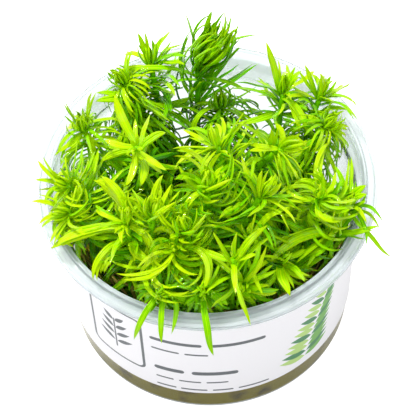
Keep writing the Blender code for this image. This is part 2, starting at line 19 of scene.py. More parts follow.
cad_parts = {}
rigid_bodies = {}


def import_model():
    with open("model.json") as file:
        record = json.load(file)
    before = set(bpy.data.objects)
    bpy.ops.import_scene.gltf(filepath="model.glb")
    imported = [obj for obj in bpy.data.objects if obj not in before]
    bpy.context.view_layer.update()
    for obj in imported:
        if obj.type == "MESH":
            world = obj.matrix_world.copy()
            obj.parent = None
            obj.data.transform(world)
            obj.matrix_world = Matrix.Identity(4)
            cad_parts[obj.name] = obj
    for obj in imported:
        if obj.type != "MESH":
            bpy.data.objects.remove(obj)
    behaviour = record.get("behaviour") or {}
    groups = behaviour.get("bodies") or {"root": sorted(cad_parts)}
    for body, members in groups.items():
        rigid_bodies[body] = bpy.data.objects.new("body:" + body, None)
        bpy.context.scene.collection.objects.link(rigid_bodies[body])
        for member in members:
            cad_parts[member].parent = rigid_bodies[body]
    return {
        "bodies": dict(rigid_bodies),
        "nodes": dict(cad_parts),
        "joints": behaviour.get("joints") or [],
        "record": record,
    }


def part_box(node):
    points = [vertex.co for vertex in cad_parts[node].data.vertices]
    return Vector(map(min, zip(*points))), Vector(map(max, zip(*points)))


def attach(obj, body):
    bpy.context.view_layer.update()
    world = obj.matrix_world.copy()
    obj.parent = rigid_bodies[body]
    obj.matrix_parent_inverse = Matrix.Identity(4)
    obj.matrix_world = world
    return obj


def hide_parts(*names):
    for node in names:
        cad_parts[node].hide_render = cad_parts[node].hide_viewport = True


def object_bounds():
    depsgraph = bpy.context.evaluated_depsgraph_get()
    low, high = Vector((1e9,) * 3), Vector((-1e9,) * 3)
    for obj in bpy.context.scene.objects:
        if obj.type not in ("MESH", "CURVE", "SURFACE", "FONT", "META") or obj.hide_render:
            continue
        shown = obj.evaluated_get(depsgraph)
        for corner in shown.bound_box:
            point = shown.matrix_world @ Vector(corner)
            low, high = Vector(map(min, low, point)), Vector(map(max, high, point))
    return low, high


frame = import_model()
CAD_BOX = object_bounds()

bl_info = {
    "name": "Cup of aquarium shoots",
    "version": (1, 0, 0),
    "blender": (4, 5, 0),
    "location": "3D View > Sidebar > Plant cup",
    "description": "Builds a clear cup of gel and the narrow-leaved shoots that grow in it",
    "category": "Object",
}

MM = 0.001
UP = Vector((0, 0, 1))


def node_size(node, corner, axis):
    """One side of a packed node's box, in millimetres."""
    return round(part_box(node)[corner][axis] / MM, 2)


# Sizes read from the packed cup, gel and label.
CUP_HEIGHT = node_size("cup", 1, 2)
RIM_RADIUS = node_size("cup", 1, 0)
GEL_TOP = node_size("gel", 1, 2)
LABEL_LOW, LABEL_HIGH = node_size("label", 0, 2), node_size("label", 1, 2)

# Sizes of the cup and its label that their boxes don't give.
MOUTH_RADIUS = 40.6
WALL_TOP_RADIUS = 39.6
WALL_FOOT_RADIUS = 38.2
WALL = 0.8
LEDGE_Z = 49.6
LIP_THICKNESS, LIP_DROP = 0.8, 1.9
GAP = 0.3                # between neighbours that don't touch
LABEL_THICKNESS = 0.3
LABEL_HALF_ANGLE = math.radians(78)

# Shoots: a five-sided stem, with a leaf on each side at every whorl.
STEM_SIDES = 5
STEM_FOOT_RADIUS, STEM_TIP_RADIUS = 1.15, 0.8
WHORL_DEPTH = 0.8
BUD_LENGTH = 2.5
LEAF_THICKNESS = 0.55
LEAF_STEPS = 12
LEAF_MARGIN = 0.6        # from a leaf to the cup
SWAY = math.radians(55)  # how far a stated leaf may curl to either side
LEAD = 0.3               # share of its swirl by which a leaf sets off to the other side
FACE_UP = 0.3            # a leaf's face looks along its stem, and by this share straight up

# Shares of a stem's length where its leaves start, on tall and short shoots, and where they end.
HEAD_START, SHORT_HEAD_START, HEAD_TOP = 0.62, 0.7, 0.97

# A stem bends this share of its height below the crown, and stands this much nearer the cup's axis.
BEND_SHARE, FOOT_SHARE = 0.32, 0.85
FOOT_LIMIT, BEND_LIMIT = 35.5, 36.0

# A leaf that finds no room is moved and tried again this often, from this many sides of its stem if its
# tip is stated; a stem is tried this often, a little further out each time.
TRIES = 5
SIDES_TRIED = 4
STEM_TRIES = 90
STEM_STEP = 1.2

# How the leaves of a head stand, from its lowest whorl to its top one: spread is the angle from
# the stem at the leaf's root, droop how far the leaf bends down to its tip, swirl how far sideways
# and sweep the share of the way that its tip turns to where the head's leaves lean together.
Habit = namedtuple("Habit", "spread_low spread_top droop swirl sweep")
HABITS = {
    "star": Habit(88, 62, 40, 10, 0),
    "brush": Habit(56, 28, -30, 0, 0.8),
    "fountain": Habit(70, 58, 120, 50, 0),
    "curl": Habit(78, 60, 10, 190, 0),
    "nest": Habit(84, 62, -50, 90, 0.15),
    "mixed": Habit(74, 50, 60, 60, 0.35),
}
SWEPT_TILT = math.radians(62)

# crown is the middle of the head in mm, tilt its angle from the vertical and toward the heading of
# that tilt (0 is +X, 90 the back, -90 the front).
Shoot = namedtuple("Shoot", "name crown tilt toward habit leaf_length whorls")
HEADS = (
    Shoot("plume", (0, 31, 66), 10, 20, "brush", 15, 3),
    Shoot("back_left", (-14, 34, 61), 30, 110, "mixed", 14, 3),
    Shoot("arch", (-21, 28, 61), 38, 150, "fountain", 14, 3),
    Shoot("tuft_left", (-32, 13, 62), 22, 140, "fountain", 14, 3),
    Shoot("edge_left", (-36, -5, 62), 48, 180, "curl", 14, 3),
    Shoot("edge_low_left", (-36, -12, 60), 60, 188, "curl", 14, 3),
    Shoot("star", (-18, 0, 71), 30, -95, "star", 9, 3),
    Shoot("hand", (-21, -19, 65), 20, 120, "mixed", 12, 3),
    Shoot("rosette", (-14, -19, 68), 32, 75, "nest", 12, 3),
    Shoot("ring", (-9, -27, 64), 22, -90, "curl", 17, 3),
    Shoot("front_left", (-12, -36, 59), 45, -100, "fountain", 14, 3),
    Shoot("front", (-2, -37, 59), 45, -85, "fountain", 14, 3),
    Shoot("middle", (0, -13, 71), 14, 95, "nest", 13, 3),
    Shoot("middle_low", (-6, -23, 67), 16, 140, "nest", 10, 3),
    Shoot("front_star", (6, -32, 66), 32, 88, "star", 13, 3),
    Shoot("front_low", (8, -35, 58), 48, -75, "mixed", 13, 2),
    Shoot("back", (3, 0, 70), 38, 125, "mixed", 14, 3),
    Shoot("fan", (20, 0, 68), 58, 5, "mixed", 13, 3),
    Shoot("back_right", (21, 22, 62), 28, 75, "mixed", 14, 3),
    Shoot("edge_back_right", (31, 22, 60), 34, 50, "mixed", 14, 3),
    Shoot("head_right", (32, 11, 62), 38, 20, "fountain", 12, 3),
    Shoot("swirl", (29, -13, 64), 16, 160, "curl", 14, 3),
    Shoot("edge_right", (36, -12, 58), 8, -20, "mixed", 14, 3),
    Shoot("broad", (32, -19, 56), 25, -150, "mixed", 14, 2),
    Shoot("pair", (10, -24, 64), 30, 75, "star", 13, 3),
    Shoot("front_right", (18, -26, 55), 12, -40, "mixed", 14, 2),
    Shoot("middle_right", (14, -14, 68), 48, 35, "mixed", 14, 3),
)

# Leaves that stand out, by head: tip in mm, widest width, the angle that each bends down through and,
# where it is seen to curl sideways, the angle of that.
Reach = namedtuple("Reach", "tip width bend swirl", defaults=(None,))
REACHES = {
    "plume": (
        Reach((-4, 36, 80), 1.2, -20, 30), Reach((3, 35, 82), 1.4, -70, -20),
        Reach((6, 35, 82), 1.4, -60, 20), Reach((8, 35, 80), 1.4, -40, 10),
        Reach((10, 34, 78), 1.4, -30, 0), Reach((9, 34, 76), 1.4, 20, 10),
        Reach((15, 34, 69), 1.8, 75, -10), Reach((-22, 31, 62), 1.6, 55), Reach((13, 26, 57), 1.6, 70),
        Reach((10, 25, 55), 1.5, 40),
    ),
    "back_left": (
        Reach((-17, 39, 69), 1.8, 10), Reach((-8, 40, 68), 1.4, -12), Reach((-8, 39, 65), 1.4, 20),
        Reach((-22, 30, 59), 1.6, 110),
    ),
    "arch": (
        Reach((-25, 30, 65), 1.4, 15), Reach((-24, 29, 62), 1.2, 20), Reach((-29, 24, 59), 2.2, 50),
        Reach((-20, 37, 64), 1.5, 80),
    ),
    "tuft_left": (
        Reach((-36, 14, 73), 1.3, -6), Reach((-29, 16, 74), 1.3, 4), Reach((-40, 8, 57), 1.5, 80),
        Reach((-38, 3, 57), 1.5, 85), Reach((-35, 4, 57), 1.4, 80), Reach((-29, 8, 58), 1.5, 90),
        Reach((-27, 7, 61), 1.3, 100, 60), Reach((-39, 7, 60), 1.3, 100, -60),
    ),
    "edge_left": (
        Reach((-44, 3, 63), 1.4, 20), Reach((-45, -2, 61), 1.6, 30), Reach((-40, -3, 67), 1.4, -20),
        Reach((-28, 5, 64), 1.6, 30),
    ),
    "edge_low_left": (
        Reach((-46, -8, 60), 1.5, 35), Reach((-44, -14, 58), 1.6, 40), Reach((-41, -20, 58), 1.6, 45),
        Reach((-38, -19, 58), 1.6, 60), Reach((-30, -15, 62), 1.5, 40), Reach((-33, -8, 66), 1.4, -20),
    ),
    "star": (
        Reach((-26, 3, 71), 2.0, 22), Reach((-23, 12, 78), 2.5, 10), Reach((-14, 6, 77), 2.2, 12),
        Reach((-10, 3, 73), 2.4, 18), Reach((-10, -7, 70), 2.2, 25), Reach((-17, -10, 68), 2.4, 30),
        Reach((-21, -10, 68), 2.0, 30), Reach((-27, -2, 68), 2.2, 30),
    ),
    "hand": (
        Reach((-29, -9, 70), 3.0, 45, 80), Reach((-27, -9, 72), 2.4, 40, 70),
        Reach((-41, -21, 57), 3.0, 30, 15), Reach((-15, -29, 61), 2.8, 40, 70),
        Reach((-14, -27, 61), 2.0, 80, -80), Reach((-30, -31, 57), 1.8, 60, 80),
        Reach((-20, -20, 74), 1.5, 14),
    ),
    "rosette": (
        Reach((-11, -10, 73), 1.8, 15), Reach((-9, -13, 73), 1.6, 18), Reach((-9, -20, 66), 1.5, 60),
        Reach((-13, -26, 63), 1.8, 45), Reach((-18, -17, 74), 1.4, -20),
    ),
    "ring": (
        Reach((-5, -38, 62), 1.4, 10, 215), Reach((-6, -39, 62), 1.4, 10, -190),
        Reach((-7, -41, 61), 1.3, 10, 190), Reach((-3, -39, 61), 1.4, 20, -160),
        Reach((-18, -32, 60), 1.4, 60, 60), Reach((-9, -33, 63), 1.2, 20, 60),
    ),
    "front_left": (
        Reach((-20, -46, 52), 1.7, 80), Reach((-13, -48, 53), 1.6, 90), Reach((-11, -47, 56), 1.5, 80),
        Reach((-18, -41, 56), 1.5, 60),
    ),
    "front": (Reach((0, -51, 51), 1.9, 105), Reach((-7, -39, 56), 1.7, 60), Reach((4, -40, 57), 1.6, 60)),
    "middle": (
        Reach((-7, -9, 75), 1.5, -15), Reach((-6, -18, 70), 1.4, 60), Reach((5, -14, 72), 1.4, 60),
        Reach((4, -9, 74), 1.4, -25),
    ),
    "front_star": (
        Reach((1, -28, 73), 1.8, 8), Reach((7, -29, 74), 1.2, 5), Reach((15, -24, 69), 2.1, 20),
        Reach((16, -26, 67), 1.8, 25), Reach((12, -30, 65), 1.6, 30), Reach((-2, -27, 64), 2.1, 30),
    ),
    "front_low": (
        Reach((-1, -36, 61), 1.6, 55), Reach((17, -31, 59), 1.6, 35), Reach((15, -35, 58), 1.5, 40),
        Reach((13, -38, 57), 1.5, 45),
    ),
    "back": (Reach((-6, 6, 70), 1.6, 35), Reach((6, -5, 72), 1.4, 20), Reach((9, -5, 75), 1.6, 10)),
    "fan": (
        Reach((25, -1, 69), 1.6, 25), Reach((24, 1, 72), 1.5, 10), Reach((20, -6, 65), 2.0, 55),
        Reach((11, -1, 69), 1.8, 35), Reach((17, 3, 73), 1.5, 10),
    ),
    "back_right": (
        Reach((17, 32, 72), 2.2, 14), Reach((26, 24, 69), 2.4, 20), Reach((18, 31, 66), 1.4, 45),
        Reach((14, 26, 63), 1.4, 50), Reach((8, 14, 60), 2.2, 30), Reach((27, 10, 60), 2.2, 45),
    ),
    "edge_back_right": (
        Reach((27, 27, 68), 1.6, 16), Reach((31, 23, 69), 1.4, 5), Reach((37, 20, 62), 1.5, 30),
        Reach((38, 18, 59), 1.6, 35), Reach((25, 19, 62), 2.0, 35),
    ),
    "head_right": (
        Reach((38, 11, 61), 1.4, 30), Reach((37, 15, 63), 1.4, 20), Reach((27, 12, 65), 1.8, 40),
    ),
    "swirl": (
        Reach((22, -12, 62), 1.4, 40, 150), Reach((23, -17, 59), 1.4, 50, 140),
        Reach((22, -9, 64), 1.3, 30, 150), Reach((32, 5, 63), 2.2, 25), Reach((25, -8, 68), 1.3, 20, 120),
    ),
    "edge_right": (
        Reach((41, -9, 63), 2.4, 12), Reach((47, -23, 50), 1.4, 80), Reach((38, -16, 59), 1.6, 45),
        Reach((38, 3, 59), 1.2, 60), Reach((30, -19, 58), 1.6, 50),
    ),
    "broad": (
        Reach((15, -28, 57), 2.5, 20), Reach((22, -27, 55), 1.8, 30), Reach((13, -24, 62), 2.1, 25),
    ),
    "pair": (Reach((21, -18, 68), 2.1, 28), Reach((19, -16, 69), 2.1, 28), Reach((12, -21, 71), 1.5, 20)),
    "front_right": (
        Reach((20, -38, 57), 2.5, 50), Reach((24, -34, 57), 1.8, 50), Reach((31, -20, 54), 2.4, 25),
    ),
    "middle_right": (
        Reach((9, -7, 76), 1.6, 12), Reach((14, -14, 79), 1.4, 8), Reach((19, -12, 70), 1.8, 30),
    ),
}

# Low shoots fill the cup under the heads, spaced round it by the golden angle.
LOW_SHOOTS = 12
LOW_RADIUS = 31.0
LOW_START = math.radians(60)
LOW_CROWNS = (40.0, 46.0, 52.0)
LOW_TILT = 20
LOW_LEAF_LENGTH = 14
GOLDEN_ANGLE = math.radians(137.5)


def wall_radius(z):
    """Outer radius of the cup's wall at a height."""
    return WALL_FOOT_RADIUS + (WALL_TOP_RADIUS - WALL_FOOT_RADIUS) * z / LEDGE_Z


def inner_radius(z):
    """Radius of the space inside the cup at a height."""
    return MOUTH_RADIUS if z > LEDGE_Z + WALL else wall_radius(z) - WALL


def bent_path(root, aim, face, length, droop, swirl):
    """Points and frames (across, face) along a leaf that bends evenly by droop and swirl."""
    along = aim.normalized()
    across = face.cross(along).normalized()
    face = along.cross(across)
    point, frames = root.copy(), [(root.copy(), across.copy(), face.copy())]
    part = 0.5 / LEAF_STEPS
    for _ in range(LEAF_STEPS):
        for moves in (False, True):
            turn = Quaternion(-across, -droop * part) @ Quaternion(face, swirl * part)
            along, across, face = turn @ along, turn @ across, turn @ face
            if not moves:
                point = point + along * (length / LEAF_STEPS)
        frames.append((point.copy(), across.copy(), face.copy()))
    return frames


def leaf_width(share):
    """Width along a leaf as a share of its widest: a narrow foot, an even blade, then a point."""
    return (1 - share ** 3.4) * (0.6 + 0.8 * share) / 0.94


def blade(frames, width, thickness, sections, boxed=False):
    """Rings of a leaf at the given steps, keeled below and flat above, or boxed in, and its tip."""
    rings = []
    for step in sections:
        point, across, face = frames[step]
        a = across * (leaf_width(step / LEAF_STEPS) * width / 2)
        f = face * (thickness / 2)
        if boxed:
            a = across * (leaf_width(step / LEAF_STEPS) * (width - thickness) / 2 + thickness / 2)
            rings.append([point - a - f, point + a - f, point + a + f, point - a + f])
        else:
            rings.append([point - f, point + a + f, point - a + f])
    return rings, frames[-1][0]


def skin(points, faces, base, rings, tip):
    """Adds a blade's faces from the four points at base to its tip."""
    for ring in rings:
        new = list(range(len(points), len(points) + len(ring)))
        points.extend(ring)
        if len(base) == len(new):
            count = len(new)
            for k in range(count):
                faces.append((base[k], base[(k + 1) % count], new[(k + 1) % count], new[k]))
        else:
            keel, right, left = new
            faces.append((base[0], base[1], keel))
            faces.append((base[1], base[2], right, keel))
            faces.append((base[2], base[3], left, right))
            faces.append((base[3], base[0], keel, left))
        base = new
    points.append(tip)
    faces.extend((base[k], base[(k + 1) % len(base)], len(points) - 1) for k in range(len(base)))


def leaf_skin(corners, frames, width, thickness, sections, boxed=False):
    """One leaf on its own, from the corners of its root."""
    points, faces = list(corners), []
    skin(points, faces, (0, 1, 2, 3), *blade(frames, width, thickness, sections, boxed))
    return points, faces


def past_root(points, faces):
    """A leaf without the stretch that its neighbours on the stem touch."""
    return points[4:], [tuple(k - 4 for k in face) for face in faces if min(face) > 3]


class Crowd:
    """What has been placed so far, for keeping each new leaf clear of the rest."""

    def __init__(self):
        self.placed = []

    def add(self, owner, points, faces):
        """Places a shape in an owner's name."""
        self.placed.append((owner, bounds(points), BVHTree.FromPolygons(points, faces)))

    def touches(self, points, faces, owners=None, skipped=()):
        """True if the shape crosses what these owners have placed, or what anyone has."""
        box = bounds(points)
        tree = BVHTree.FromPolygons(points, faces)
        for other, other_box, other_tree in self.placed:
            if other in skipped or (owners and other not in owners):
                continue
            if any(a[0] > b[1] or b[0] > a[1] for a, b in zip(box, other_box)):
                continue
            if tree.overlap(other_tree):
                return True
        return False


def bounds(points):
    """Lowest and highest value of the points on each axis."""
    return [(min(p[i] for p in points), max(p[i] for p in points)) for i in range(3)]


def clears_cup(point, margin):
    """True where a point keeps its margin to the cup and the gel."""
    radius = math.hypot(point.x, point.y)
    if point.z > CUP_HEIGHT + margin:
        return True
    if radius > RIM_RADIUS + margin:
        return point.z > margin
    return radius < inner_radius(point.z) - margin and point.z > GEL_TOP + margin


def inward(point, limit):
    """The point, moved towards the cup's axis if it is further out than the limit."""
    share = min(1, limit / max(limit, math.hypot(point.x, point.y)))
    return Vector((point.x * share, point.y * share, point.z))


def stem_path(foot, bend, crown, share):
    """Point and direction on a stem that rises from foot and leans to its crown."""
    point = foot * (1 - share) ** 2 + bend * (2 * share * (1 - share)) + crown * share ** 2
    along = (bend - foot) * (1 - share) + (crown - bend) * share
    return point, along.normalized()


def round_stem(axis, angle):
    """Direction straight out from a stem, at an angle round it."""
    east = (Vector((1, 0, 0)) - axis * axis.x).normalized()
    return east * math.cos(angle) + axis.cross(east) * math.sin(angle)


def set_off(axis, outward, spread):
    """Direction in which a leaf leaves its stem, at an angle to it."""
    return outward * math.sin(spread) + axis * math.cos(spread)


def spread_at(habit, height):
    """Angle from the stem in degrees at which a habit's leaves leave it, at a share of the head's height."""
    return habit.spread_low + (habit.spread_top - habit.spread_low) * height


def direction(tilt, toward):
    """Unit vector at an angle from the vertical, toward a heading."""
    return Vector((math.sin(tilt) * math.cos(toward), math.sin(tilt) * math.sin(toward), math.cos(tilt)))


class Growth:
    """One shoot: its stem's rings, and the leaves that found room."""

    def __init__(self, shoot, number, crowd):
        self.shoot, self.crowd = shoot, crowd
        self.chance = random.Random(number)
        tilt, toward = math.radians(shoot.tilt), math.radians(shoot.toward)
        lean = direction(tilt, toward)
        self.swept = direction(SWEPT_TILT, toward)
        self.crown = Vector(shoot.crown)
        self.bend = inward(self.crown - lean * (BEND_SHARE * (self.crown.z - GEL_TOP)), BEND_LIMIT)
        self.first_turn = self.chance.uniform(0, math.tau)
        self.leaves = []
        self.blades = shoot.name + "_blades"
        self.root_stem()

    def root_stem(self):
        """Stands the stem on the gel, at the nearest free place to straight under its bend."""
        straight = self.bend
        for attempt in range(STEM_TRIES):
            turn = attempt * GOLDEN_ANGLE
            shift = Vector((math.cos(turn), math.sin(turn), 0)) * (STEM_STEP * math.sqrt(attempt))
            self.bend = inward(straight - shift * 0.4, BEND_LIMIT)
            under = Vector((straight.x * FOOT_SHARE, straight.y * FOOT_SHARE, GEL_TOP + GAP))
            self.foot = inward(under + shift, FOOT_LIMIT)
            self.make_rings(GAP)
            points, faces = self.stem_skin()
            if not self.crowd.touches(points, faces):
                break
        else:
            raise RuntimeError(f"no room for the stem of {self.shoot.name}")
        self.make_rings(0)
        points, faces = self.stem_skin()
        self.crowd.add(self.shoot.name, points, faces)

    def levels(self):
        """Shares of the stem's length where its whorls are, closer together towards the top."""
        count = self.shoot.whorls
        lowest = HEAD_START if count > 2 else SHORT_HEAD_START
        return [lowest + (HEAD_TOP - lowest) * (i / (count - 1)) ** 0.8 for i in range(count)]

    def ring(self, share, offset, turn, extra):
        """Corners of the stem's section, so far along it and past that by the offset."""
        point, along = stem_path(self.foot, self.bend, self.crown, share)
        point = point + along * offset
        east = (Vector((1, 0, 0)) - along * along.x).normalized()
        north = along.cross(east)
        radius = STEM_FOOT_RADIUS + (STEM_TIP_RADIUS - STEM_FOOT_RADIUS) * share + extra
        corners = []
        for i in range(STEM_SIDES):
            angle = turn + math.tau * i / STEM_SIDES
            corners.append(point + east * (radius * math.cos(angle)) + north * (radius * math.sin(angle)))
        return corners

    def make_rings(self, extra):
        """Rings up the stem; each whorl is the band between a pair of them."""
        self.rings = [self.ring(0, 0, self.first_turn, extra), self.ring(0.33, 0, self.first_turn, extra)]
        self.whorls = []
        turn = self.first_turn
        for share in self.levels():
            turn += math.pi / STEM_SIDES
            self.whorls.append(len(self.rings))
            self.rings.append(self.ring(share, -WHORL_DEPTH / 2, turn, extra))
            self.rings.append(self.ring(share, WHORL_DEPTH / 2, turn, extra))
        self.bud = self.crown + stem_path(self.foot, self.bend, self.crown, 1)[1] * (BUD_LENGTH + extra)

    def stem_skin(self, bands=None):
        """The stem's points and faces; bands collects the side faces where leaves may grow."""
        points = [corner for ring in self.rings for corner in ring] + [self.bud]
        faces = [tuple(range(STEM_SIDES))[::-1]]
        for r in range(len(self.rings) - 1):
            for i in range(STEM_SIDES):
                low, high, j = r * STEM_SIDES, (r + 1) * STEM_SIDES, (i + 1) % STEM_SIDES
                quad = (low + i, low + j, high + j, high + i)
                if bands is not None and (r, i) in bands:
                    bands[(r, i)] = quad
                else:
                    faces.append(quad)
        top = (len(self.rings) - 1) * STEM_SIDES
        faces.extend((top + i, top + (i + 1) % STEM_SIDES, len(points) - 1) for i in range(STEM_SIDES))
        return points, faces

    def side(self, whorl, i):
        """Middle, outward direction, stem direction and corners of one side of a whorl."""
        low, high = self.rings[self.whorls[whorl]], self.rings[self.whorls[whorl] + 1]
        j = (i + 1) % STEM_SIDES
        corners = (low[i], low[j], high[j], high[i])
        middle = sum(corners, Vector()) / 4
        axis = sum(high, Vector()) / STEM_SIDES - sum(low, Vector()) / STEM_SIDES
        outward = (middle - (sum(low, Vector()) + sum(high, Vector())) / (2 * STEM_SIDES)).normalized()
        return middle, outward, axis.normalized(), corners

    def free_sides(self):
        """(whorl, side) pairs that have no leaf yet."""
        taken = {(leaf["whorl"], leaf["side"]) for leaf in self.leaves}
        everyone = [(w, i) for w in range(len(self.whorls)) for i in range(STEM_SIDES)]
        return [place for place in everyone if place not in taken]

    def fits(self, frames, width, sections, corners):
        """True if a leaf clears the cup and everything that isn't its own stem."""
        for step in range(3, LEAF_STEPS + 1):
            point, across, _ = frames[step]
            edge = across * (leaf_width(step / LEAF_STEPS) * width / 2)
            if not (clears_cup(point - edge, LEAF_MARGIN) and clears_cup(point + edge, LEAF_MARGIN)):
                return False
        stops = [0] + list(sections) + [LEAF_STEPS]
        for a, b in zip(stops, stops[1:]):
            for share in (0.25, 0.5, 0.75):
                if a and not clears_cup(frames[a][0].lerp(frames[b][0], share), LEAF_MARGIN):
                    return False
        guard = leaf_skin(corners, frames, width + 2 * GAP, LEAF_THICKNESS + 2 * GAP, sections, boxed=True)
        if self.crowd.touches(*guard, skipped=(self.shoot.name, self.blades)):
            return False
        return not self.crowd.touches(*past_root(*guard), owners=(self.blades,))

    def keep(self, whorl, i, frames, width, sections, corners):
        """Notes a leaf that fits, and puts it in the crowd."""
        leaf = {"whorl": whorl, "side": i, "frames": frames, "width": width, "sections": sections}
        self.leaves.append(leaf)
        solid = leaf_skin(corners, frames, width, LEAF_THICKNESS, sections)
        self.crowd.add(self.shoot.name, *solid)
        self.crowd.add(self.blades, *past_root(*solid))

    def reach(self, leaf):
        """Grows a leaf whose tip is at a stated place, from the side that faces it best."""
        tip = Vector(leaf.tip)
        sides = []
        for whorl, i in self.free_sides():
            middle, outward, _, _ = self.side(whorl, i)
            way = (tip - middle).normalized()
            sides.append((way.dot(outward) + 0.6 * whorl / len(self.whorls), whorl, i))
        for attempt in range(SIDES_TRIED * TRIES):
            if not sides:
                return
            _, whorl, i = sorted(sides, reverse=True)[min(attempt % SIDES_TRIED, len(sides) - 1)]
            middle, outward, _, corners = self.side(whorl, i)
            times = attempt // SIDES_TRIED
            shift = Vector([self.chance.uniform(-1, 1) for _ in range(3)]) * (0.6 * times)
            bend = math.radians(leaf.bend + 8 * times)
            swirl = self.chance.uniform(-SWAY, SWAY) if leaf.swirl is None else math.radians(leaf.swirl)
            frames = self.aimed(middle, tip + shift, bend, swirl, outward)
            if self.fits(frames, leaf.width, (4, 8), corners):
                self.keep(whorl, i, frames, leaf.width, (4, 8), corners)
                return

    def aimed(self, root, tip, bend, swirl, outward):
        """Frames of a leaf from root to tip that arches over by bend and curls sideways by swirl."""
        target = tip
        for _ in range(8):
            chord = target - root
            up = UP - outward * 0.5
            across = up.cross(chord).normalized()
            face = chord.cross(across).normalized()
            aim = Quaternion(face, -swirl / 2) @ Quaternion(-across, bend / 2) @ chord
            turn = max(0.01, math.hypot(bend, swirl) / 2)
            length = chord.length * turn / math.sin(turn)
            frames = bent_path(root, aim, face, length, bend, swirl)
            target = target + (tip - frames[-1][0])
        return frames

    def lean(self, habit, aim, face, droop, swirl):
        """A leaf's droop and swirl with the habit's share of the turn to where the head's leaves lean."""
        turn = aim.normalized().rotation_difference(self.swept)
        across = face.cross(aim).normalized()
        above = aim.cross(across).normalized()
        over, round_to = turn.angle * turn.axis.dot(across), turn.angle * turn.axis.dot(above)
        return droop + habit.sweep * over, swirl + habit.sweep * round_to

    def whorl_leaves(self):
        """Fills the sides that are still free with leaves that stand as the habit says."""
        habit = HABITS[self.shoot.habit]
        chance = self.chance
        for whorl, i in self.free_sides():
            middle, outward, axis, corners = self.side(whorl, i)
            height = whorl / max(1, len(self.whorls) - 1)
            for attempt in range(TRIES):
                spread = math.radians(spread_at(habit, height) + chance.uniform(-12, 12))
                droop = math.radians(habit.droop + chance.uniform(-18, 18))
                swirl = math.radians(habit.swirl + chance.uniform(-15, 15))
                turn = Quaternion(axis, chance.uniform(-0.3, 0.3) - LEAD * swirl)
                length = self.shoot.leaf_length * chance.uniform(0.8, 1.12) * (1 - 0.12 * attempt)
                width = chance.uniform(1.1, 1.6)
                aim = turn @ set_off(axis, outward, spread)
                face = axis * (1 - FACE_UP) + UP * FACE_UP
                droop, swirl = self.lean(habit, aim, face, droop, swirl)
                frames = bent_path(middle, aim, face, length, droop, swirl)
                simple = self.shoot.whorls < 3 or abs(droop) + abs(swirl) < 0.7
                sections = (6,) if simple else (4, 8)
                if self.fits(frames, width, sections, corners):
                    self.keep(whorl, i, frames, width, sections, corners)
                    break


def low_shoots():
    """Short shoots between the tall ones."""
    for i in range(LOW_SHOOTS):
        turn = LOW_START + i * GOLDEN_ANGLE
        reach = LOW_RADIUS * math.sqrt((i + 0.5) / LOW_SHOOTS)
        crown = (reach * math.cos(turn), reach * math.sin(turn), LOW_CROWNS[i % len(LOW_CROWNS)])
        yield Shoot(f"low_{i + 1:02d}", crown, LOW_TILT, math.degrees(turn), "fountain", LOW_LEAF_LENGTH, 2)


def grow():
    """Stems first, then the leaves that stand out, then the rest, each clear of those before it."""
    crowd = Crowd()
    shoots = list(HEADS) + list(low_shoots())
    growths = [Growth(shoot, number, crowd) for number, shoot in enumerate(shoots)]
    for growth in growths:
        for leaf in REACHES.get(growth.shoot.name, ()):
            growth.reach(leaf)
    for growth in growths:
        growth.whorl_leaves()
    return growths


def linear(hex_colour):
    """A linear RGBA colour from an sRGB hex value."""
    parts = [int(hex_colour[i:i + 2], 16) / 255 for i in (0, 2, 4)]
    return [c / 12.92 if c <= 0.04045 else ((c + 0.055) / 1.055) ** 2.4 for c in parts] + [1.0]


def colour_property(name, hex_colour, description):
    """A colour that the user may change."""
    return FloatVectorProperty(
        name=name, description=description, subtype="COLOR", size=4, min=0, max=1, default=linear(hex_colour)
    )


def share_property(name, share, description):
    """A share from 0 to 1 that the user may change."""
    return FloatProperty(name=name, description=description, subtype="FACTOR", min=0, max=1, default=share)


class CupLook(bpy.types.PropertyGroup):
    """The clear cup's finish."""

    tint: colour_property("Tint", "F3FAFC", "Colour of light that has passed through the wall")
    edge_tint: colour_property("Edge tint", "AED2D4", "Colour that a long way through the plastic takes on")
    edge_density: FloatProperty(
        name="Edge density", description="Absorption for each metre of plastic", default=45.0, min=0
    )
    roughness: share_property("Roughness", 0.03, "Blur of the moulded surface")
    # Painted sheen: the flange is made milky white to stand in for the overhead light that the real flange
    # reflects.
    haze_and_sheen: share_property("Haze", 0.3, "Milkiness of the flange, where a lid was sealed on")
    sides: IntProperty(name="Sides", description="Facets round the cup", default=180, min=36)


class GelLook(bpy.types.PropertyGroup):
    """The nutrient gel's finish."""

    colour: colour_property("Gel", "9A8A00", "Colour of the clean gel")
    stain: colour_property("Stain", "4A3A0C", "Colour where old roots have stained it")
    roughness: share_property("Roughness", 0.28, "Blur of its wet surface")
    roots: IntProperty(name="Roots", description="Fine roots on the gel", default=150, min=0)
    old_leaves: IntProperty(name="Old leaves", description="Withered leaves on the gel", default=46, min=0)
    stuck_leaves: IntProperty(
        name="Stuck leaves", description="Withered bits by the front of the wall", default=240, min=0
    )


class LabelLook(bpy.types.PropertyGroup):
    """The printed band's finish."""

    film: colour_property("Film", "F3F2F6", "White printed film")
    ink: colour_property("Ink", "5C6266", "Grey ink of the ruled marks")
    light_green: colour_property("Light green", "B4D67A", "Lightest green ink")
    mid_green: colour_property("Mid green", "6FAE4E", "Middle green ink")
    deep_green: colour_property("Deep green", "3C8350", "Darkest green ink")


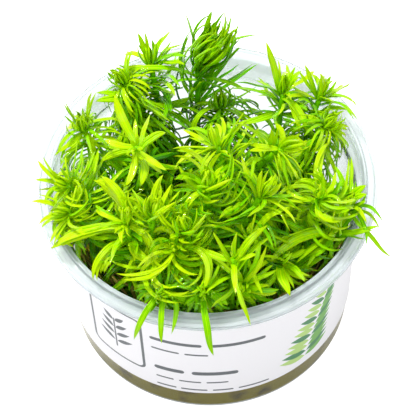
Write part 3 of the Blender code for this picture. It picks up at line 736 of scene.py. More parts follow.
class ShootLook(bpy.types.PropertyGroup):
    """The shoots' leaves and their finish."""

    # The leaf colour runs from deep to tip by each leaf's tone, so deep is also the colour that the painted
    # shade low in a head darkens leaves towards.
    deep: colour_property("Deep", "2C7E02", "Old leaves low in the cup")
    mature: colour_property("Mature", "74D200", "Full-grown leaves")
    fresh: colour_property("Fresh", "A8EC00", "Young leaves near the top of a head")
    tip: colour_property("Tip", "CEFA08", "Newest leaves and leaf tips")
    blade_thickness: FloatProperty(
        name="Blade thickness", description="Thickness of a leaf at its midrib, in mm", default=0.3, min=0.05
    )
    channel: FloatProperty(
        name="Channel", description="Depth of a leaf's fold as a share of its half width", default=0.3
    )
    wave: FloatProperty(
        name="Wave", description="How far a twisted blade sways as a share of its length", default=0.03, min=0
    )
    whorl_spacing: FloatProperty(
        name="Whorl spacing", description="Scales the distance between whorls on a stem", default=1.0, min=0.5
    )
    roughness: share_property("Roughness", 0.3, "Blur of the leaf's own surface, under any water")


class StageLook(bpy.types.PropertyGroup):
    """Camera, light and floor."""

    elevation: FloatProperty(
        name="Elevation", description="Camera's angle above the horizon", subtype="ANGLE",
        default=math.radians(56.5)
    )
    roll: FloatProperty(
        name="Roll", description="Camera's turn about its own line of sight", subtype="ANGLE",
        default=math.radians(2.2)
    )
    distance: FloatProperty(
        name="Distance", description="Camera to the cup's axis", default=0.63, min=0.1, unit="LENGTH"
    )
    target: FloatProperty(
        name="Target height", description="Height on the cup's axis that the camera looks at", default=0.0416,
        unit="LENGTH"
    )
    lens: FloatProperty(
        name="Lens", description="Focal length in mm on a 36 mm sensor", default=203.7, min=10
    )
    daylight: FloatProperty(
        name="Daylight", description="Strength of the white surround", default=0.88, min=0
    )
    softbox: FloatProperty(
        name="Softbox", description="Power of the light overhead", default=5.2, min=0, unit="POWER"
    )


def set_inputs(tree, node, values):
    """Sets a node's inputs; one whose value is a socket is linked to it."""
    for name, value in values.items():
        if isinstance(value, bpy.types.NodeSocket):
            tree.links.new(value, node.inputs[name])
        else:
            node.inputs[name].default_value = value


def add_node(tree, kind, inputs=None, **settings):
    """One shader node with its settings and inputs."""
    node = tree.nodes.new(kind)
    for name, value in settings.items():
        setattr(node, name, value)
    set_inputs(tree, node, inputs or {})
    return node


def new_material(name):
    """An empty material and its node tree, with a Principled shader on its output."""
    made = bpy.data.materials.new(name)
    made.use_nodes = True
    return made, made.node_tree, made.node_tree.nodes["Principled BSDF"]


# Sizes in mm of what repeats in the materials: the gel's stains and clouding, the film's pebble, and the
# leaves' blotches of age, wet patches and ripples on those.
STAIN, CLOUD, PEBBLE, BLOTCH, WET_PATCH, RIPPLE = 7, 2, 0.4, 3, 4.2, 2
HAZE_AND_SHEEN_FADE = 4            # mm below the ledge over which the flange's milkiness, a painted sheen, sets in


def clear_polystyrene(look):
    """Injection-moulded clear polystyrene: almost colourless, blue-green where the eye looks along it."""
    made, tree, shader = new_material("clear moulded polystyrene")
    place = add_node(tree, "ShaderNodeTexCoord").outputs["Object"]
    height = add_node(tree, "ShaderNodeSeparateXYZ", {"Vector": place}).outputs["Z"]
    # The flange is made milky white, a painted sheen that stands in for the light from overhead which the
    # real flange reflects; that fades out over the top of the wall.
    clear = add_node(tree, "ShaderNodeMapRange", {
        "Value": height, "From Min": (LEDGE_Z - HAZE_AND_SHEEN_FADE) * MM, "From Max": LEDGE_Z * MM,
        "To Min": 1.0, "To Max": 1 - look.haze_and_sheen,
    }).outputs["Result"]
    set_inputs(tree, shader, {
        "Base Color": look.tint, "Roughness": look.roughness, "IOR": 1.38, "Transmission Weight": clear,
    })
    absorb = add_node(tree, "ShaderNodeVolumeAbsorption", {
        "Color": look.edge_tint, "Density": look.edge_density,
    })
    tree.links.new(absorb.outputs["Volume"], tree.nodes["Material Output"].inputs["Volume"])
    return made


def agar_gel(look):
    """Set agar medium: a wet olive jelly, cloudy, with brown stains where roots have died back."""
    made, tree, shader = new_material("agar gel")
    place = add_node(tree, "ShaderNodeTexCoord").outputs["Object"]
    stains = add_node(tree, "ShaderNodeTexNoise", {"Vector": place, "Scale": 1 / (STAIN * MM), "Detail": 3.0})
    edge = add_node(tree, "ShaderNodeMapRange", {
        "Value": stains.outputs["Fac"], "From Min": 0.5, "From Max": 0.72,
    })
    mixed = add_node(tree, "ShaderNodeMix", {"Factor": edge.outputs["Result"]}, data_type="RGBA")
    mixed.inputs["A"].default_value = look.colour
    mixed.inputs["B"].default_value = look.stain
    clouds = add_node(tree, "ShaderNodeTexNoise", {"Vector": place, "Scale": 1 / (CLOUD * MM), "Detail": 2.0})
    bump = add_node(tree, "ShaderNodeBump", {
        "Height": clouds.outputs["Fac"], "Strength": 0.3, "Distance": 0.6 * MM,
    })
    set_inputs(tree, shader, {
        "Base Color": mixed.outputs["Result"], "Roughness": look.roughness, "IOR": 1.34,
        "Specular IOR Level": 0.15, "Normal": bump.outputs["Normal"],
    })
    return made


def coated_film(name, colour):
    """Printed polypropylene film: even and satin, with a faint pebble from the press."""
    made, tree, shader = new_material(name)
    place = add_node(tree, "ShaderNodeTexCoord").outputs["Object"]
    # The pebble is coarser than the film's own so that it shows.
    pebble = add_node(tree, "ShaderNodeTexNoise", {
        "Vector": place, "Scale": 1 / (PEBBLE * MM), "Detail": 1.0,
    })
    bump = add_node(tree, "ShaderNodeBump", {
        "Height": pebble.outputs["Fac"], "Strength": 0.05, "Distance": 0.1 * MM,
    })
    set_inputs(tree, shader, {
        "Base Color": colour, "Roughness": 0.42, "IOR": 1.49, "Normal": bump.outputs["Normal"],
    })
    return made


def fresh_leaf(look):
    """Thin living leaf: light glows through it, its midrib and margins are pale with a painted highlight
    along them, its veins run lengthways, it is wet.
    """
    made, tree, shader = new_material("fresh leaf")
    # The tone carries each leaf's own tone and the painted shade low in its head.
    tone = add_node(tree, "ShaderNodeAttribute", attribute_name="tone").outputs["Fac"]
    along = add_node(tree, "ShaderNodeAttribute", attribute_name="along").outputs["Fac"]
    across = add_node(tree, "ShaderNodeAttribute", attribute_name="across").outputs["Fac"]
    place = add_node(tree, "ShaderNodeTexCoord").outputs["Object"]
    # A leaf's tip is fresher than its foot, and it ages in blotches.
    blotch = add_node(tree, "ShaderNodeTexNoise", {
        "Vector": place, "Scale": 1 / (BLOTCH * MM), "Detail": 2.0,
    }).outputs["Fac"]
    aged = add_node(tree, "ShaderNodeMath", {0: along, 1: 0.22, 2: tone}, operation="MULTIPLY_ADD").outputs[0]
    aged = add_node(tree, "ShaderNodeMath", {
        0: blotch, 1: 0.24, 2: aged,
    }, operation="MULTIPLY_ADD").outputs[0]
    aged = add_node(tree, "ShaderNodeMath", {0: aged, 1: 0.12}, operation="SUBTRACT").outputs[0]
    # Midrib and margins are paler than the blade between them: partly their own paler colour, partly a
    # painted highlight where light catches these ridges.
    off_middle = add_node(tree, "ShaderNodeMath", {0: across}, operation="ABSOLUTE").outputs[0]
    line = add_node(tree, "ShaderNodeMath", {0: off_middle, 1: math.tau}, operation="MULTIPLY").outputs[0]
    line = add_node(tree, "ShaderNodeMath", {0: line}, operation="COSINE").outputs[0]
    line = add_node(tree, "ShaderNodeMath", {0: line, 1: 0.11, 2: aged}, operation="MULTIPLY_ADD").outputs[0]
    # Real veins are 0.1 mm apart, too fine to show, so two coarse ones are drawn on each half of the blade.
    veins = add_node(tree, "ShaderNodeMath", {
        0: off_middle, 1: 2 * math.tau,
    }, operation="MULTIPLY").outputs[0]
    veins = add_node(tree, "ShaderNodeMath", {0: veins}, operation="COSINE").outputs[0]
    line = add_node(tree, "ShaderNodeMath", {0: veins, 1: 0.1, 2: line}, operation="MULTIPLY_ADD").outputs[0]
    bump = add_node(tree, "ShaderNodeBump", {"Height": veins, "Strength": 0.5, "Distance": 0.1 * MM})
    ramp = add_node(tree, "ShaderNodeValToRGB", {"Fac": line})
    stops = ((0.0, look.deep), (0.38, look.mature), (0.72, look.fresh), (1.0, look.tip))
    while len(ramp.color_ramp.elements) < len(stops):
        ramp.color_ramp.elements.new(0.5)
    for element, (position, colour) in zip(ramp.color_ramp.elements, stops):
        element.position, element.color = position, colour
    # A film of water stands on the leaves in patches, and glints there because its surface ripples.
    wet = add_node(tree, "ShaderNodeTexNoise", {
        "Vector": place, "Scale": 1 / (WET_PATCH * MM), "Detail": 1.0,
    })
    wet = add_node(tree, "ShaderNodeMapRange", {
        "Value": wet.outputs["Fac"], "From Min": 0.5, "From Max": 0.58, "To Min": 0.05, "To Max": 1.0,
    }).outputs["Result"]
    ripple = add_node(tree, "ShaderNodeTexNoise", {
        "Vector": place, "Scale": 1 / (RIPPLE * MM), "Detail": 1.0,
    })
    ripple = add_node(tree, "ShaderNodeBump", {
        "Height": ripple.outputs["Fac"], "Strength": 0.7, "Distance": 0.4 * MM,
    })
    set_inputs(tree, shader, {
        "Base Color": ramp.outputs["Color"], "Roughness": look.roughness, "IOR": 1.38,
        "Specular Tint": linear("D6EC50"), "Coat Weight": wet, "Coat Roughness": 0.05, "Coat IOR": 1.38,
        "Subsurface Weight": 0.12, "Subsurface Radius": (0.6, 1.0, 0.05), "Subsurface Scale": 1 * MM,
        "Normal": bump.outputs["Normal"], "Coat Normal": ripple.outputs["Normal"],
    })
    return made


def withered_leaf():
    """Old leaf and root gone soft: brown to straw, limp and wet."""
    made, tree, shader = new_material("withered leaf")
    tone = add_node(tree, "ShaderNodeAttribute", attribute_name="tone").outputs["Fac"]
    ramp = add_node(tree, "ShaderNodeValToRGB", {"Fac": tone})
    ramp.color_ramp.elements[0].color = linear("54401A")
    ramp.color_ramp.elements[1].color = linear("DCC45A")
    middle = ramp.color_ramp.elements.new(0.55)
    middle.color = linear("8E882C")
    set_inputs(tree, shader, {"Base Color": ramp.outputs["Color"], "Roughness": 0.4, "IOR": 1.4})
    return made


def add_piece(name, points, faces, materials, nodes=(), attributes=None, indices=None, smooth=True):
    """A mesh piece in metres that rides on the cup and stands for the named nodes."""
    mesh = bpy.data.meshes.new(name)
    mesh.from_pydata(np.asarray(points, dtype=float) * MM, [], faces)
    for made in materials:
        mesh.materials.append(made)
    for key, values in (attributes or {}).items():
        mesh.attributes.new(key, "FLOAT", "POINT").data.foreach_set("value", np.asarray(values, dtype=float))
    if indices is not None:
        mesh.polygons.foreach_set("material_index", indices)
    if smooth:
        mesh.shade_smooth()
    thing = bpy.data.objects.new(name, mesh)
    bpy.context.scene.collection.objects.link(thing)
    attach(thing, "root")
    if nodes:
        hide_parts(*nodes)
    return thing


def turned(profile, sides):
    """A closed solid turned about Z from (radius, z) pairs that start and end on the axis."""
    points, rings = [], []
    for radius, z in profile:
        if radius == 0:
            rings.append([len(points)])
            points.append((0, 0, z))
            continue
        rings.append(list(range(len(points), len(points) + sides)))
        for i in range(sides):
            turn = math.tau * i / sides
            points.append((radius * math.cos(turn), radius * math.sin(turn), z))
    faces = []
    for below, above in zip(rings, rings[1:]):
        for i in range(sides):
            j = (i + 1) % sides
            if len(below) == 1:
                faces.append((below[0], above[j], above[i]))
            elif len(above) == 1:
                faces.append((below[i], below[j], above[0]))
            else:
                faces.append((below[i], below[j], above[j], above[i]))
    return points, faces


def rounded(corners, steps=4):
    """A profile with its corners rounded: corners are (radius, z, rounding)."""
    outline = []
    for k, (r, z, rounding) in enumerate(corners):
        if not rounding or k in (0, len(corners) - 1):
            outline.append((r, z))
            continue
        here = Vector((r, z))
        before, after = Vector(corners[k - 1][:2]) - here, Vector(corners[k + 1][:2]) - here
        reach = min(rounding, before.length * 0.48, after.length * 0.48)
        a, b = here + before.normalized() * reach, here + after.normalized() * reach
        for i in range(steps + 1):
            t = i / steps
            point = a * (1 - t) ** 2 + here * (2 * t * (1 - t)) + b * t ** 2
            outline.append((point.x, point.y))
    return outline


# The cup stands on a ring, whose sides are so far in from the foot of the wall, and its base is raised inside
# that. The slope up to there is so wide, and the chamfer round the base so high.
BASE_RISE, RING_INNER, RING_OUTER = 0.5, 5, 1.2
BASE_SLOPE, CHAMFER = 1, 1.4

# The mouth's outside is so much wider than the top of the wall. The flange's flat and its raised edge are so
# far below the bead round the mouth; then the edge's and the bead's widths.
NECK = 1.9
FLANGE_DROP, EDGE_DROP = 0.85, 0.6
EDGE_WIDTH, BEAD_WIDTH = 1.0, 1.4


def cup_profile():
    """Half the cup's section, with the roundings of a moulded part: (radius, z, rounding)."""
    lip = RIM_RADIUS - LIP_THICKNESS
    foot, top = WALL_FOOT_RADIUS, WALL_TOP_RADIUS
    outside = [
        (0, BASE_RISE, 0), (foot - RING_INNER - BASE_SLOPE, BASE_RISE, 0.5), (foot - RING_INNER, 0, 0.4),
        (foot - RING_OUTER, 0, 0.8), (foot, CHAMFER, 1.0), (top, LEDGE_Z, 0.8),
        (top + 1.6, LEDGE_Z + WALL, 0.6), (top + NECK, CUP_HEIGHT - 1.6, 0.4),
        (lip, CUP_HEIGHT - 1.3, 0.3), (lip, CUP_HEIGHT - LIP_DROP, 0.2),
    ]
    flange = [
        (RIM_RADIUS, CUP_HEIGHT - LIP_DROP, 0.25), (RIM_RADIUS, CUP_HEIGHT - EDGE_DROP, 0.4),
        (RIM_RADIUS - EDGE_WIDTH, CUP_HEIGHT - EDGE_DROP, 0.2),
        (RIM_RADIUS - 1.3, CUP_HEIGHT - FLANGE_DROP, 0.2),
        (MOUTH_RADIUS + 1.7, CUP_HEIGHT - FLANGE_DROP, 0.3),
        (MOUTH_RADIUS + BEAD_WIDTH, CUP_HEIGHT, 0.35), (MOUTH_RADIUS, CUP_HEIGHT, 0.5),
    ]
    inside = [
        (MOUTH_RADIUS, LEDGE_Z + WALL + 0.4, 0.5), (top - WALL, LEDGE_Z, 0.6), (foot - WALL, 2.4, 1.2),
        (foot - 2.4, WALL + 0.3, 0.6), (0, WALL + BASE_RISE, 0),
    ]
    return rounded(outside + flange + inside)


GEL_SIDES = 120
GEL_WETS = 0.1           # how far the gel reaches into the wall, so that no film of air is left between
MENISCUS, MENISCUS_WIDTH = 0.35, 1.2


def gel_profile():
    """Half the gel's section, with the meniscus at the wall."""
    low, edge = WALL + GAP, inner_radius(GEL_TOP)
    return rounded([
        (0, low, 0), (WALL_FOOT_RADIUS - 1.6, low, 0.5), (WALL_FOOT_RADIUS - 0.5, low + 1.2, 0.6),
        (edge + GEL_WETS, GEL_TOP, 0.4), (edge - MENISCUS_WIDTH, GEL_TOP - MENISCUS, 0.6),
        (0, GEL_TOP - MENISCUS, 0),
    ])


# A leaf's section from edge to edge and back under its keel, by its half width, its fold and its thickness.
SECTION = np.array([-1, -0.5, 0, 0.5, 1, 0])
FOLD = np.array([1, 0.35, 0, 0.35, 1, 0])
KEEL = np.array([0, 0, 0, 0, 0, -1])
THIN_HALF = 0.5          # where a leaf's half width is less, it is thinner as well
WAVES = 1.4              # times that a twisted blade sways to and fro on the way to its tip


def leaf_points(frames, width, look, twist):
    """A folded blade's rings of six points from its foot up, and its tip."""
    share = np.linspace(0, 1, len(frames))[:-1]
    half = np.array([leaf_width(s) for s in share]) * width / 2
    middle, across, face = (np.array([frame[k] for frame in frames]) for k in range(3))
    sway = twist * look.wave * (frames[-1][0] - frames[0][0]).length
    sway = sway * np.sin(math.tau * WAVES * share) * np.sin(math.pi * share)
    turn = (twist * share)[:, None]
    across, face = across[:-1], face[:-1]
    across, face = across * np.cos(turn) + face * np.sin(turn), face * np.cos(turn) - across * np.sin(turn)
    aside = half[:, None] * SECTION
    lift = look.channel * half[:, None] * FOLD
    lift = lift + look.blade_thickness * np.minimum(1, half / THIN_HALF)[:, None] * KEEL
    aside, lift = aside + sway[:, None], lift + sway[:, None]
    points = middle[:-1, None, :] + across[:, None, :] * aside[:, :, None]
    points = points + face[:, None, :] * lift[:, :, None]
    return np.vstack([points.reshape(-1, 3), middle[-1:]])


def leaf_faces(rings):
    """Faces of a blade with so many rings: its foot, its sides and its tip."""
    ring = len(SECTION)
    faces = [tuple(range(ring))]
    for r in range(rings - 1):
        low, high = r * ring, (r + 1) * ring
        faces.extend((low + (i + 1) % ring, low + i, high + i, high + (i + 1) % ring) for i in range(ring))
    last = (rings - 1) * ring
    faces.extend((last + (i + 1) % ring, last + i, rings * ring) for i in range(ring))
    return faces


# What a stem or root has for a leaf's place along and across, which with its tone give its colour.
STEM_ALONG, STEM_ACROSS = 0.4, 0.6


class Foliage:
    """Leaves and stems gathered for one mesh, with the values that colour them."""

    def __init__(self, look):
        self.look = look
        self.points, self.faces = [], []
        self.values = {"tone": [], "along": [], "across": []}
        self.count = 0

    def add(self, points, faces, tone, along, across):
        """Gathers one closed shape."""
        self.points.append(points)
        self.faces.extend(tuple(k + self.count for k in face) for face in faces)
        self.values["tone"].append(np.full(len(points), tone))
        self.values["along"].append(along)
        self.values["across"].append(across)
        self.count += len(points)

    def leaf(self, frames, width, tone, twist=0.0):
        """A leaf on its frames, turned evenly by a twist in radians from foot to tip."""
        rings = len(frames) - 1
        along = np.append(np.repeat(np.arange(rings) / rings, len(SECTION)), 1.0)
        across = np.append(np.tile(SECTION, rings), 0)
        self.add(leaf_points(frames, width, self.look, twist), leaf_faces(rings), tone, along, across)

    def tube(self, path, radii, tone, sides=10):
        """A round stem through (point, direction) pairs, closed at both ends."""
        points, faces = [], []
        for k, (point, along) in enumerate(path):
            east = along.orthogonal() if k == 0 else east - along * east.dot(along)
            east = east.normalized()
            north = along.cross(east)
            for i in range(sides):
                turn = math.tau * i / sides
                points.append(point + (east * math.cos(turn) + north * math.sin(turn)) * radii[k])
            if k:
                low, high = (k - 1) * sides, k * sides
                for i in range(sides):
                    j = (i + 1) % sides
                    faces.append((low + i, low + j, high + j, high + i))
        faces.append(tuple(range(sides))[::-1])
        faces.append(tuple(range((len(path) - 1) * sides, len(path) * sides)))
        along = np.repeat(np.linspace(0, STEM_ALONG, len(path)), sides)
        self.add(np.array(points), faces, tone, along, np.full(len(points), STEM_ACROSS))

    def build(self, name, material, slot, nodes=()):
        """Makes the gathered shapes into one piece."""
        values = {key: np.concatenate(parts) for key, parts in self.values.items()}
        return add_piece(name, np.vstack(self.points), self.faces, [material], nodes, values)


BOX_MARGIN = 0.5         # from a leaf to the sides of the packed model's box
ROOT_STEPS = 2           # steps at a leaf's root that aren't looked at, since its stem holds them


def clears(frames, width):
    """True if a leaf stays clear of the cup and the gel and inside the packed model's box."""
    low = [side / MM + BOX_MARGIN for side in CAD_BOX[0]]
    high = [side / MM - BOX_MARGIN for side in CAD_BOX[1]]
    for step in range(ROOT_STEPS, len(frames)):
        point, across, _ = frames[step]
        edge = across * (leaf_width(step / LEAF_STEPS) * width / 2)
        if not (clears_cup(point - edge, GAP) and clears_cup(point + edge, GAP)):
            return False
        if any(not low[k] < point[k] < high[k] for k in range(3)):
            return False
    return True


def swung(frames, turn, scale):
    """A leaf's frames turned and scaled about its foot."""
    foot = frames[0][0]
    return [(foot + turn @ (p - foot) * scale, turn @ across, turn @ face) for p, across, face in frames]


# How bright each head's leaves are; the heads that aren't named are middling.
TONES = {
    "star": 0.84, "hand": 0.88, "edge_low_left": 0.86, "front_star": 0.8, "ring": 0.88, "edge_left": 0.86,
    "rosette": 0.84, "plume": 0.55, "arch": 0.71, "back_left": 0.68, "back_right": 0.68, "head_right": 0.7,
    "edge_back_right": 0.72, "tuft_left": 0.78, "middle_low": 0.8, "front_left": 0.46, "front": 0.48,
    "broad": 0.62, "front_right": 0.64, "edge_right": 0.7, "front_low": 0.7, "swirl": 0.82,
}
MIDDLING, LOW_TONE = 0.85, 0.55

# Tones as shares of the head's: its stem's, the lowest packed leaves' (a painted shade, darker low in the
# head) and the outermost ones' round its bud.
STEM_TONE, OWN_LOW_SHADE, CREST_LOW = 0.6, 0.75, 0.85

# Painted shade: tone low in a head as a share of the tone at its top, by the stem's distance from the cup's
# axis, darkest low in the middle of the cup and least dark by the wall, where there is most light. Each leaf
# of a whorl then differs by one of the shades.
WALL_LIGHT, LIGHT_REACH = 0.5, 30
SHADES = (0.2, 0.06, -0.14, -0.34)

# How a head is dressed: small leaves round its bud, their length in mm, lean and bend in degrees, slim
# leaves beside each of the shoot's own, the share of the stem's length where whorls stop, the space
# between whorls in mm, the leaves round each, the share of them that have dropped, and their width.
Crest = namedtuple("Crest", "leaves length lean bend beside top space around gone width")
CRESTS = {
    "star": Crest(6, 4.5, 42, -10, 0, 0.66, 2.2, 6, 0.3, 1.05),
    "brush": Crest(76, 14.0, 50, -60, 0, 0.97, 1.6, 8, 0.2, 1.0),
    "fountain": Crest(26, 7.0, 62, -115, 1, 1.0, 1.4, 8, 0.2, 0.75),
    "curl": Crest(9, 6.0, 50, -60, 1, 1.0, 2.0, 7, 0.25, 1.1),
    "nest": Crest(12, 7.0, 60, -110, 1, 1.0, 2.3, 6, 0.3, 1.2),
    "mixed": Crest(8, 7.0, 34, -50, 1, 1.0, 2.4, 6, 0.3, 1.2),
}
CREST_FACE_UP = 0.2      # as FACE_UP, for the leaves round a bud

# Heads whose small leaves hang otherwise than their habit says.
DRAPED = {"tuft_left": (Habit(96, 56, 105, 0, 0), Crest(12, 5.0, 44, -60, 0, 1.0, 2.3, 5, 0.05, 1.05))}

# Heads whose stems carry few leaves below, so that light and the far wall show between them.
BARE = ("plume", "back", "back_right", "front_left", "front", "front_low")

# Heads whose long leaves have grown together in bundles of this many.
BUNDLED = ("hand",)
BUNDLE = 4

# Whorls start at this share of the stem's length and stand further apart below the head, by these factors;
# the head starts this much lower than its packed leaves do, and on a bare stem as much higher.
LOWEST_WHORL = 0.2
SPARSE, DRAPED_SPARSE, BARE_SPARSE = 1.7, 2.5, 4
HEAD_MARGIN = 0.12
WHORL_TURN = 0.16        # from one whorl to the next, so that their leaves lie side by side

# The leaves above one another on a stem's side: how far that line of them stands from its even place round
# the stem, how far they curl as a share of the habit's swirl, and their size.
Rib = namedtuple("Rib", "aside curl size")
SIDES = (1, 1, 1, -1)    # most of them curl the same way round

# Most leaves stray from their line by a few degrees, some by many; low ones droop by some more degrees. One
# that finds no room is tried again at these lengths.
STRAY, FAR_STRAY, STRAYED = 5, 30, 0.2
LOW_DROOP = 25
LENGTHS = (1.0, 0.75, 0.5)

STEM_STATIONS = 26
SWELLING = 0.1           # by which every other one of those is wider, as a share of the stem's radius

DRESSING_SEED = 500      # and the shoot's number added


def dress_stem(growth, foliage, tone):
    """The stem, a little swollen at its joints."""
    last = STEM_STATIONS - 1
    path = [stem_path(growth.foot, growth.bend, growth.crown, k / last) for k in range(STEM_STATIONS)]
    radii = []
    for k in range(STEM_STATIONS):
        taper = STEM_FOOT_RADIUS + (STEM_TIP_RADIUS - STEM_FOOT_RADIUS) * k / last
        radii.append(taper * (1 - SWELLING + SWELLING * (k % 2)))
    foliage.tube(path, radii, tone * STEM_TONE)


def dress_own(growth, foliage, tone, chance):
    """The packed shoot's leaves, and beside those that stand out some slimmer ones, or a whole bundle."""
    stated = len(REACHES.get(growth.shoot.name, ()))
    beside = CRESTS[growth.shoot.habit].beside
    bundled = growth.shoot.name in BUNDLED
    apart = (0.03, 0.14) if bundled else (0.14, 0.36)
    for k, leaf in enumerate(growth.leaves):
        height = leaf["whorl"] / max(1, len(growth.whorls) - 1)
        # Painted shade: the head's lower packed leaves are darker than its top ones.
        shade = tone * (OWN_LOW_SHADE + (1 - OWN_LOW_SHADE) * height) + chance.uniform(-0.08, 0.08)
        foliage.leaf(leaf["frames"], leaf["width"], shade, chance.uniform(-0.5, 0.5))
        tip = leaf["frames"][-1][0]
        over_rim = tip.z < CUP_HEIGHT and math.hypot(*tip.xy) > RIM_RADIUS
        count = 0 if over_rim else BUNDLE if bundled and k < stated else beside
        for _ in range(count):
            way = Vector([chance.uniform(-1, 1) for _ in range(3)]).normalized()
            turn = Quaternion(way, chance.uniform(*apart))
            frames = swung(leaf["frames"], turn, chance.uniform(0.75, 1.0))
            width = leaf["width"] * chance.uniform(0.55, 0.85)
            if clears(frames, width):
                foliage.leaf(frames, width, shade + chance.uniform(-0.15, 0.1), chance.uniform(-0.7, 0.7))


def dress_whorls(growth, foliage, look, tone, chance):
    """Whorls between those of the packed shoot; leaves above one another curve alike, like a comb."""
    shoot = growth.shoot
    habit, crest = DRAPED.get(shoot.name) or (HABITS[shoot.habit], CRESTS[shoot.habit])
    bare = shoot.name in BARE
    sparse = BARE_SPARSE if bare else DRAPED_SPARSE if shoot.name in DRAPED else SPARSE
    light = WALL_LIGHT * min(1, math.hypot(*growth.foot.xy) / LIGHT_REACH)
    length = (growth.bend - growth.foot).length + (growth.crown - growth.bend).length
    top = SHORT_HEAD_START if shoot.whorls < 3 else HEAD_START
    dense = top + HEAD_MARGIN if bare else top - HEAD_MARGIN
    ribs = []
    for _ in range(crest.around):
        aside, curl = chance.uniform(-0.3, 0.3), chance.choice(SIDES) * chance.uniform(0.4, 1.3)
        ribs.append(Rib(aside, curl, chance.uniform(0.75, 1.35)))
    share, turn = LOWEST_WHORL, growth.first_turn
    while share < crest.top:
        apart = 1 if share > dense else sparse
        share += crest.space * look.whorl_spacing / length * apart * chance.uniform(0.9, 1.1)
        turn += WHORL_TURN * min(2, apart)
        point, axis = stem_path(growth.foot, growth.bend, growth.crown, min(share, 0.99))
        height = min(1, max(0, (share - top) / (1 - top)))
        for i, rib in enumerate(ribs):
            angle = turn + math.tau * i / crest.around + rib.aside + chance.uniform(-0.06, 0.06)
            outward = round_stem(axis, angle)
            stray = FAR_STRAY if chance.random() < STRAYED else STRAY
            if chance.random() < crest.gone:
                continue
            for part in LENGTHS:
                spread = math.radians(spread_at(habit, height) + chance.uniform(-stray, stray))
                droop = math.radians(habit.droop + LOW_DROOP * (1 - height) + chance.uniform(-stray, stray))
                swirl = math.radians(habit.swirl * rib.curl + chance.uniform(-stray, stray))
                reach = shoot.leaf_length * rib.size * chance.uniform(0.92, 1.05) * part
                reach *= 1.15 - 0.4 * height
                aim = Quaternion(axis, -LEAD * swirl) @ set_off(axis, outward, spread)
                face = axis * (1 - FACE_UP) + UP * FACE_UP
                droop, swirl = growth.lean(habit, aim, face, droop, swirl)
                frames = bent_path(point + outward * 0.4, aim, face, reach, droop, swirl)
                width = crest.width * chance.uniform(0.75, 1.25)
                if clears(frames, width):
                    # Painted shade: a leaf low in the head is darker, most of all near the cup's axis.
                    shade = tone * (light + (1 - light) * height) + chance.choice(SHADES)
                    shade += chance.uniform(-0.1, 0.1)
                    foliage.leaf(frames, width, shade, chance.uniform(-0.8, 0.8))
                    break


def dress_crest(growth, foliage, tone, chance):
    """The young leaves that stand round the bud, the inner ones shorter and more upright."""
    habit, crest = HABITS[growth.shoot.habit], CRESTS[growth.shoot.habit]
    axis = stem_path(growth.foot, growth.bend, growth.crown, 1)[1]
    face = axis * (1 - CREST_FACE_UP) + UP * CREST_FACE_UP
    for i in range(crest.leaves):
        outward = round_stem(axis, i * GOLDEN_ANGLE + growth.first_turn)
        inner = i / crest.leaves
        lean = math.radians(crest.lean * (1.4 - 1.1 * inner) + chance.uniform(-5, 5))
        aim = set_off(axis, outward, lean)
        root = growth.crown + axis * (2.2 * inner - 0.8) + outward * 0.3
        length = crest.length * (1.1 - 0.55 * inner) * chance.uniform(0.85, 1.15)
        bend = math.radians(crest.bend + chance.uniform(-20, 20))
        curl = math.radians(chance.uniform(-30, 40))
        frames = bent_path(root, aim, face, length, *growth.lean(habit, aim, face, bend, curl))
        width = crest.width * chance.uniform(0.8, 1.25)
        if clears(frames, width):
            foliage.leaf(frames, width, tone * (CREST_LOW + 0.2 * inner), chance.uniform(-0.4, 0.4))


def dress(growth, number, look, material):
    """One detailed shoot in place of the packed one."""
    chance = random.Random(DRESSING_SEED + number)
    foliage = Foliage(look)
    name = growth.shoot.name
    tone = LOW_TONE if name.startswith("low_") else TONES.get(name, MIDDLING)
    dress_stem(growth, foliage, tone)
    dress_own(growth, foliage, tone, chance)
    dress_whorls(growth, foliage, look, tone, chance)
    dress_crest(growth, foliage, tone, chance)
    return foliage.build("leafy_shoot_" + name, material, "leaf", ("shoot_" + name,))


def rounded_box(left, low, right, high, radius, steps=5):
    """Corners of a box with round corners, in label coordinates."""
    points = []
    for cx, cy, start in (
        (right - radius, high - radius, 0), (left + radius, high - radius, 1),
        (left + radius, low + radius, 2), (right - radius, low + radius, 3),
    ):
        for k in range(steps + 1):
            turn = math.pi / 2 * (start + k / steps)
            points.append((cx + radius * math.cos(turn), cy + radius * math.sin(turn)))
    return points


def leaflet(foot, tip, width, steps=6):
    """A flat leaf from foot to tip."""
    foot, tip = Vector(foot), Vector(tip)
    side = Vector((foot.y - tip.y, tip.x - foot.x)).normalized() * (width / 2)
    bulge = [side * math.sin(math.pi * (k / steps) ** 0.8) for k in range(steps + 1)]
    there = [foot.lerp(tip, k / steps) + bulge[k] for k in range(steps + 1)]
    back = [foot.lerp(tip, k / steps) - bulge[k] for k in range(1, steps)]
    return [tuple(p) for p in there + back[::-1]]


# The printed marks, in mm round the wall from the label's middle and up from the cup's foot.
FILM, INK, LIGHT_GREEN, MID_GREEN, DEEP_GREEN = range(5)

# The outlined box: its left, low, right and high sides, its line's width and its corners' radius; then the
# radius inside the line, and the sprig in it: pairs of leaflets, the space between them and half its stem.
FRAME_BOX = (-36.4, 17.0, -18.8, 43)
FRAME_LINE, FRAME_RADIUS, FRAME_INNER_RADIUS = 0.8, 2.4, 1.7
SPRIG_PAIRS, SPRIG_SPACE, SPRIG_HALF_STEM = 4, 3.6, 0.25

# Ruled lines: height, thickness, and where each dash starts and ends.
RULED_LINES = (
    (36.5, 1.5, ((-16.8, -3), (-1, 13.8))),
    (31.4, 0.8, ((-16.6, -9), (-7.6, -1.4))),
    (21.2, 1.8, ((-16.2, -8), (-6, 6.4))),
    (16.2, 0.7, ((-15.9, -11), (-9.6, -3.6), (-2.2, 3.7))),
    (11.9, 0.7, ((-15.9, -10.4), (-9.2, -2), (-0.6, 5), (6.4, 15))),
)

# The green sprig: where it starts, how far its top is from there, and its pairs of leaves.
GREEN_FOOT = (26.5, 14)
GREEN_RISE = (8, 27)
GREEN_PAIRS = 13


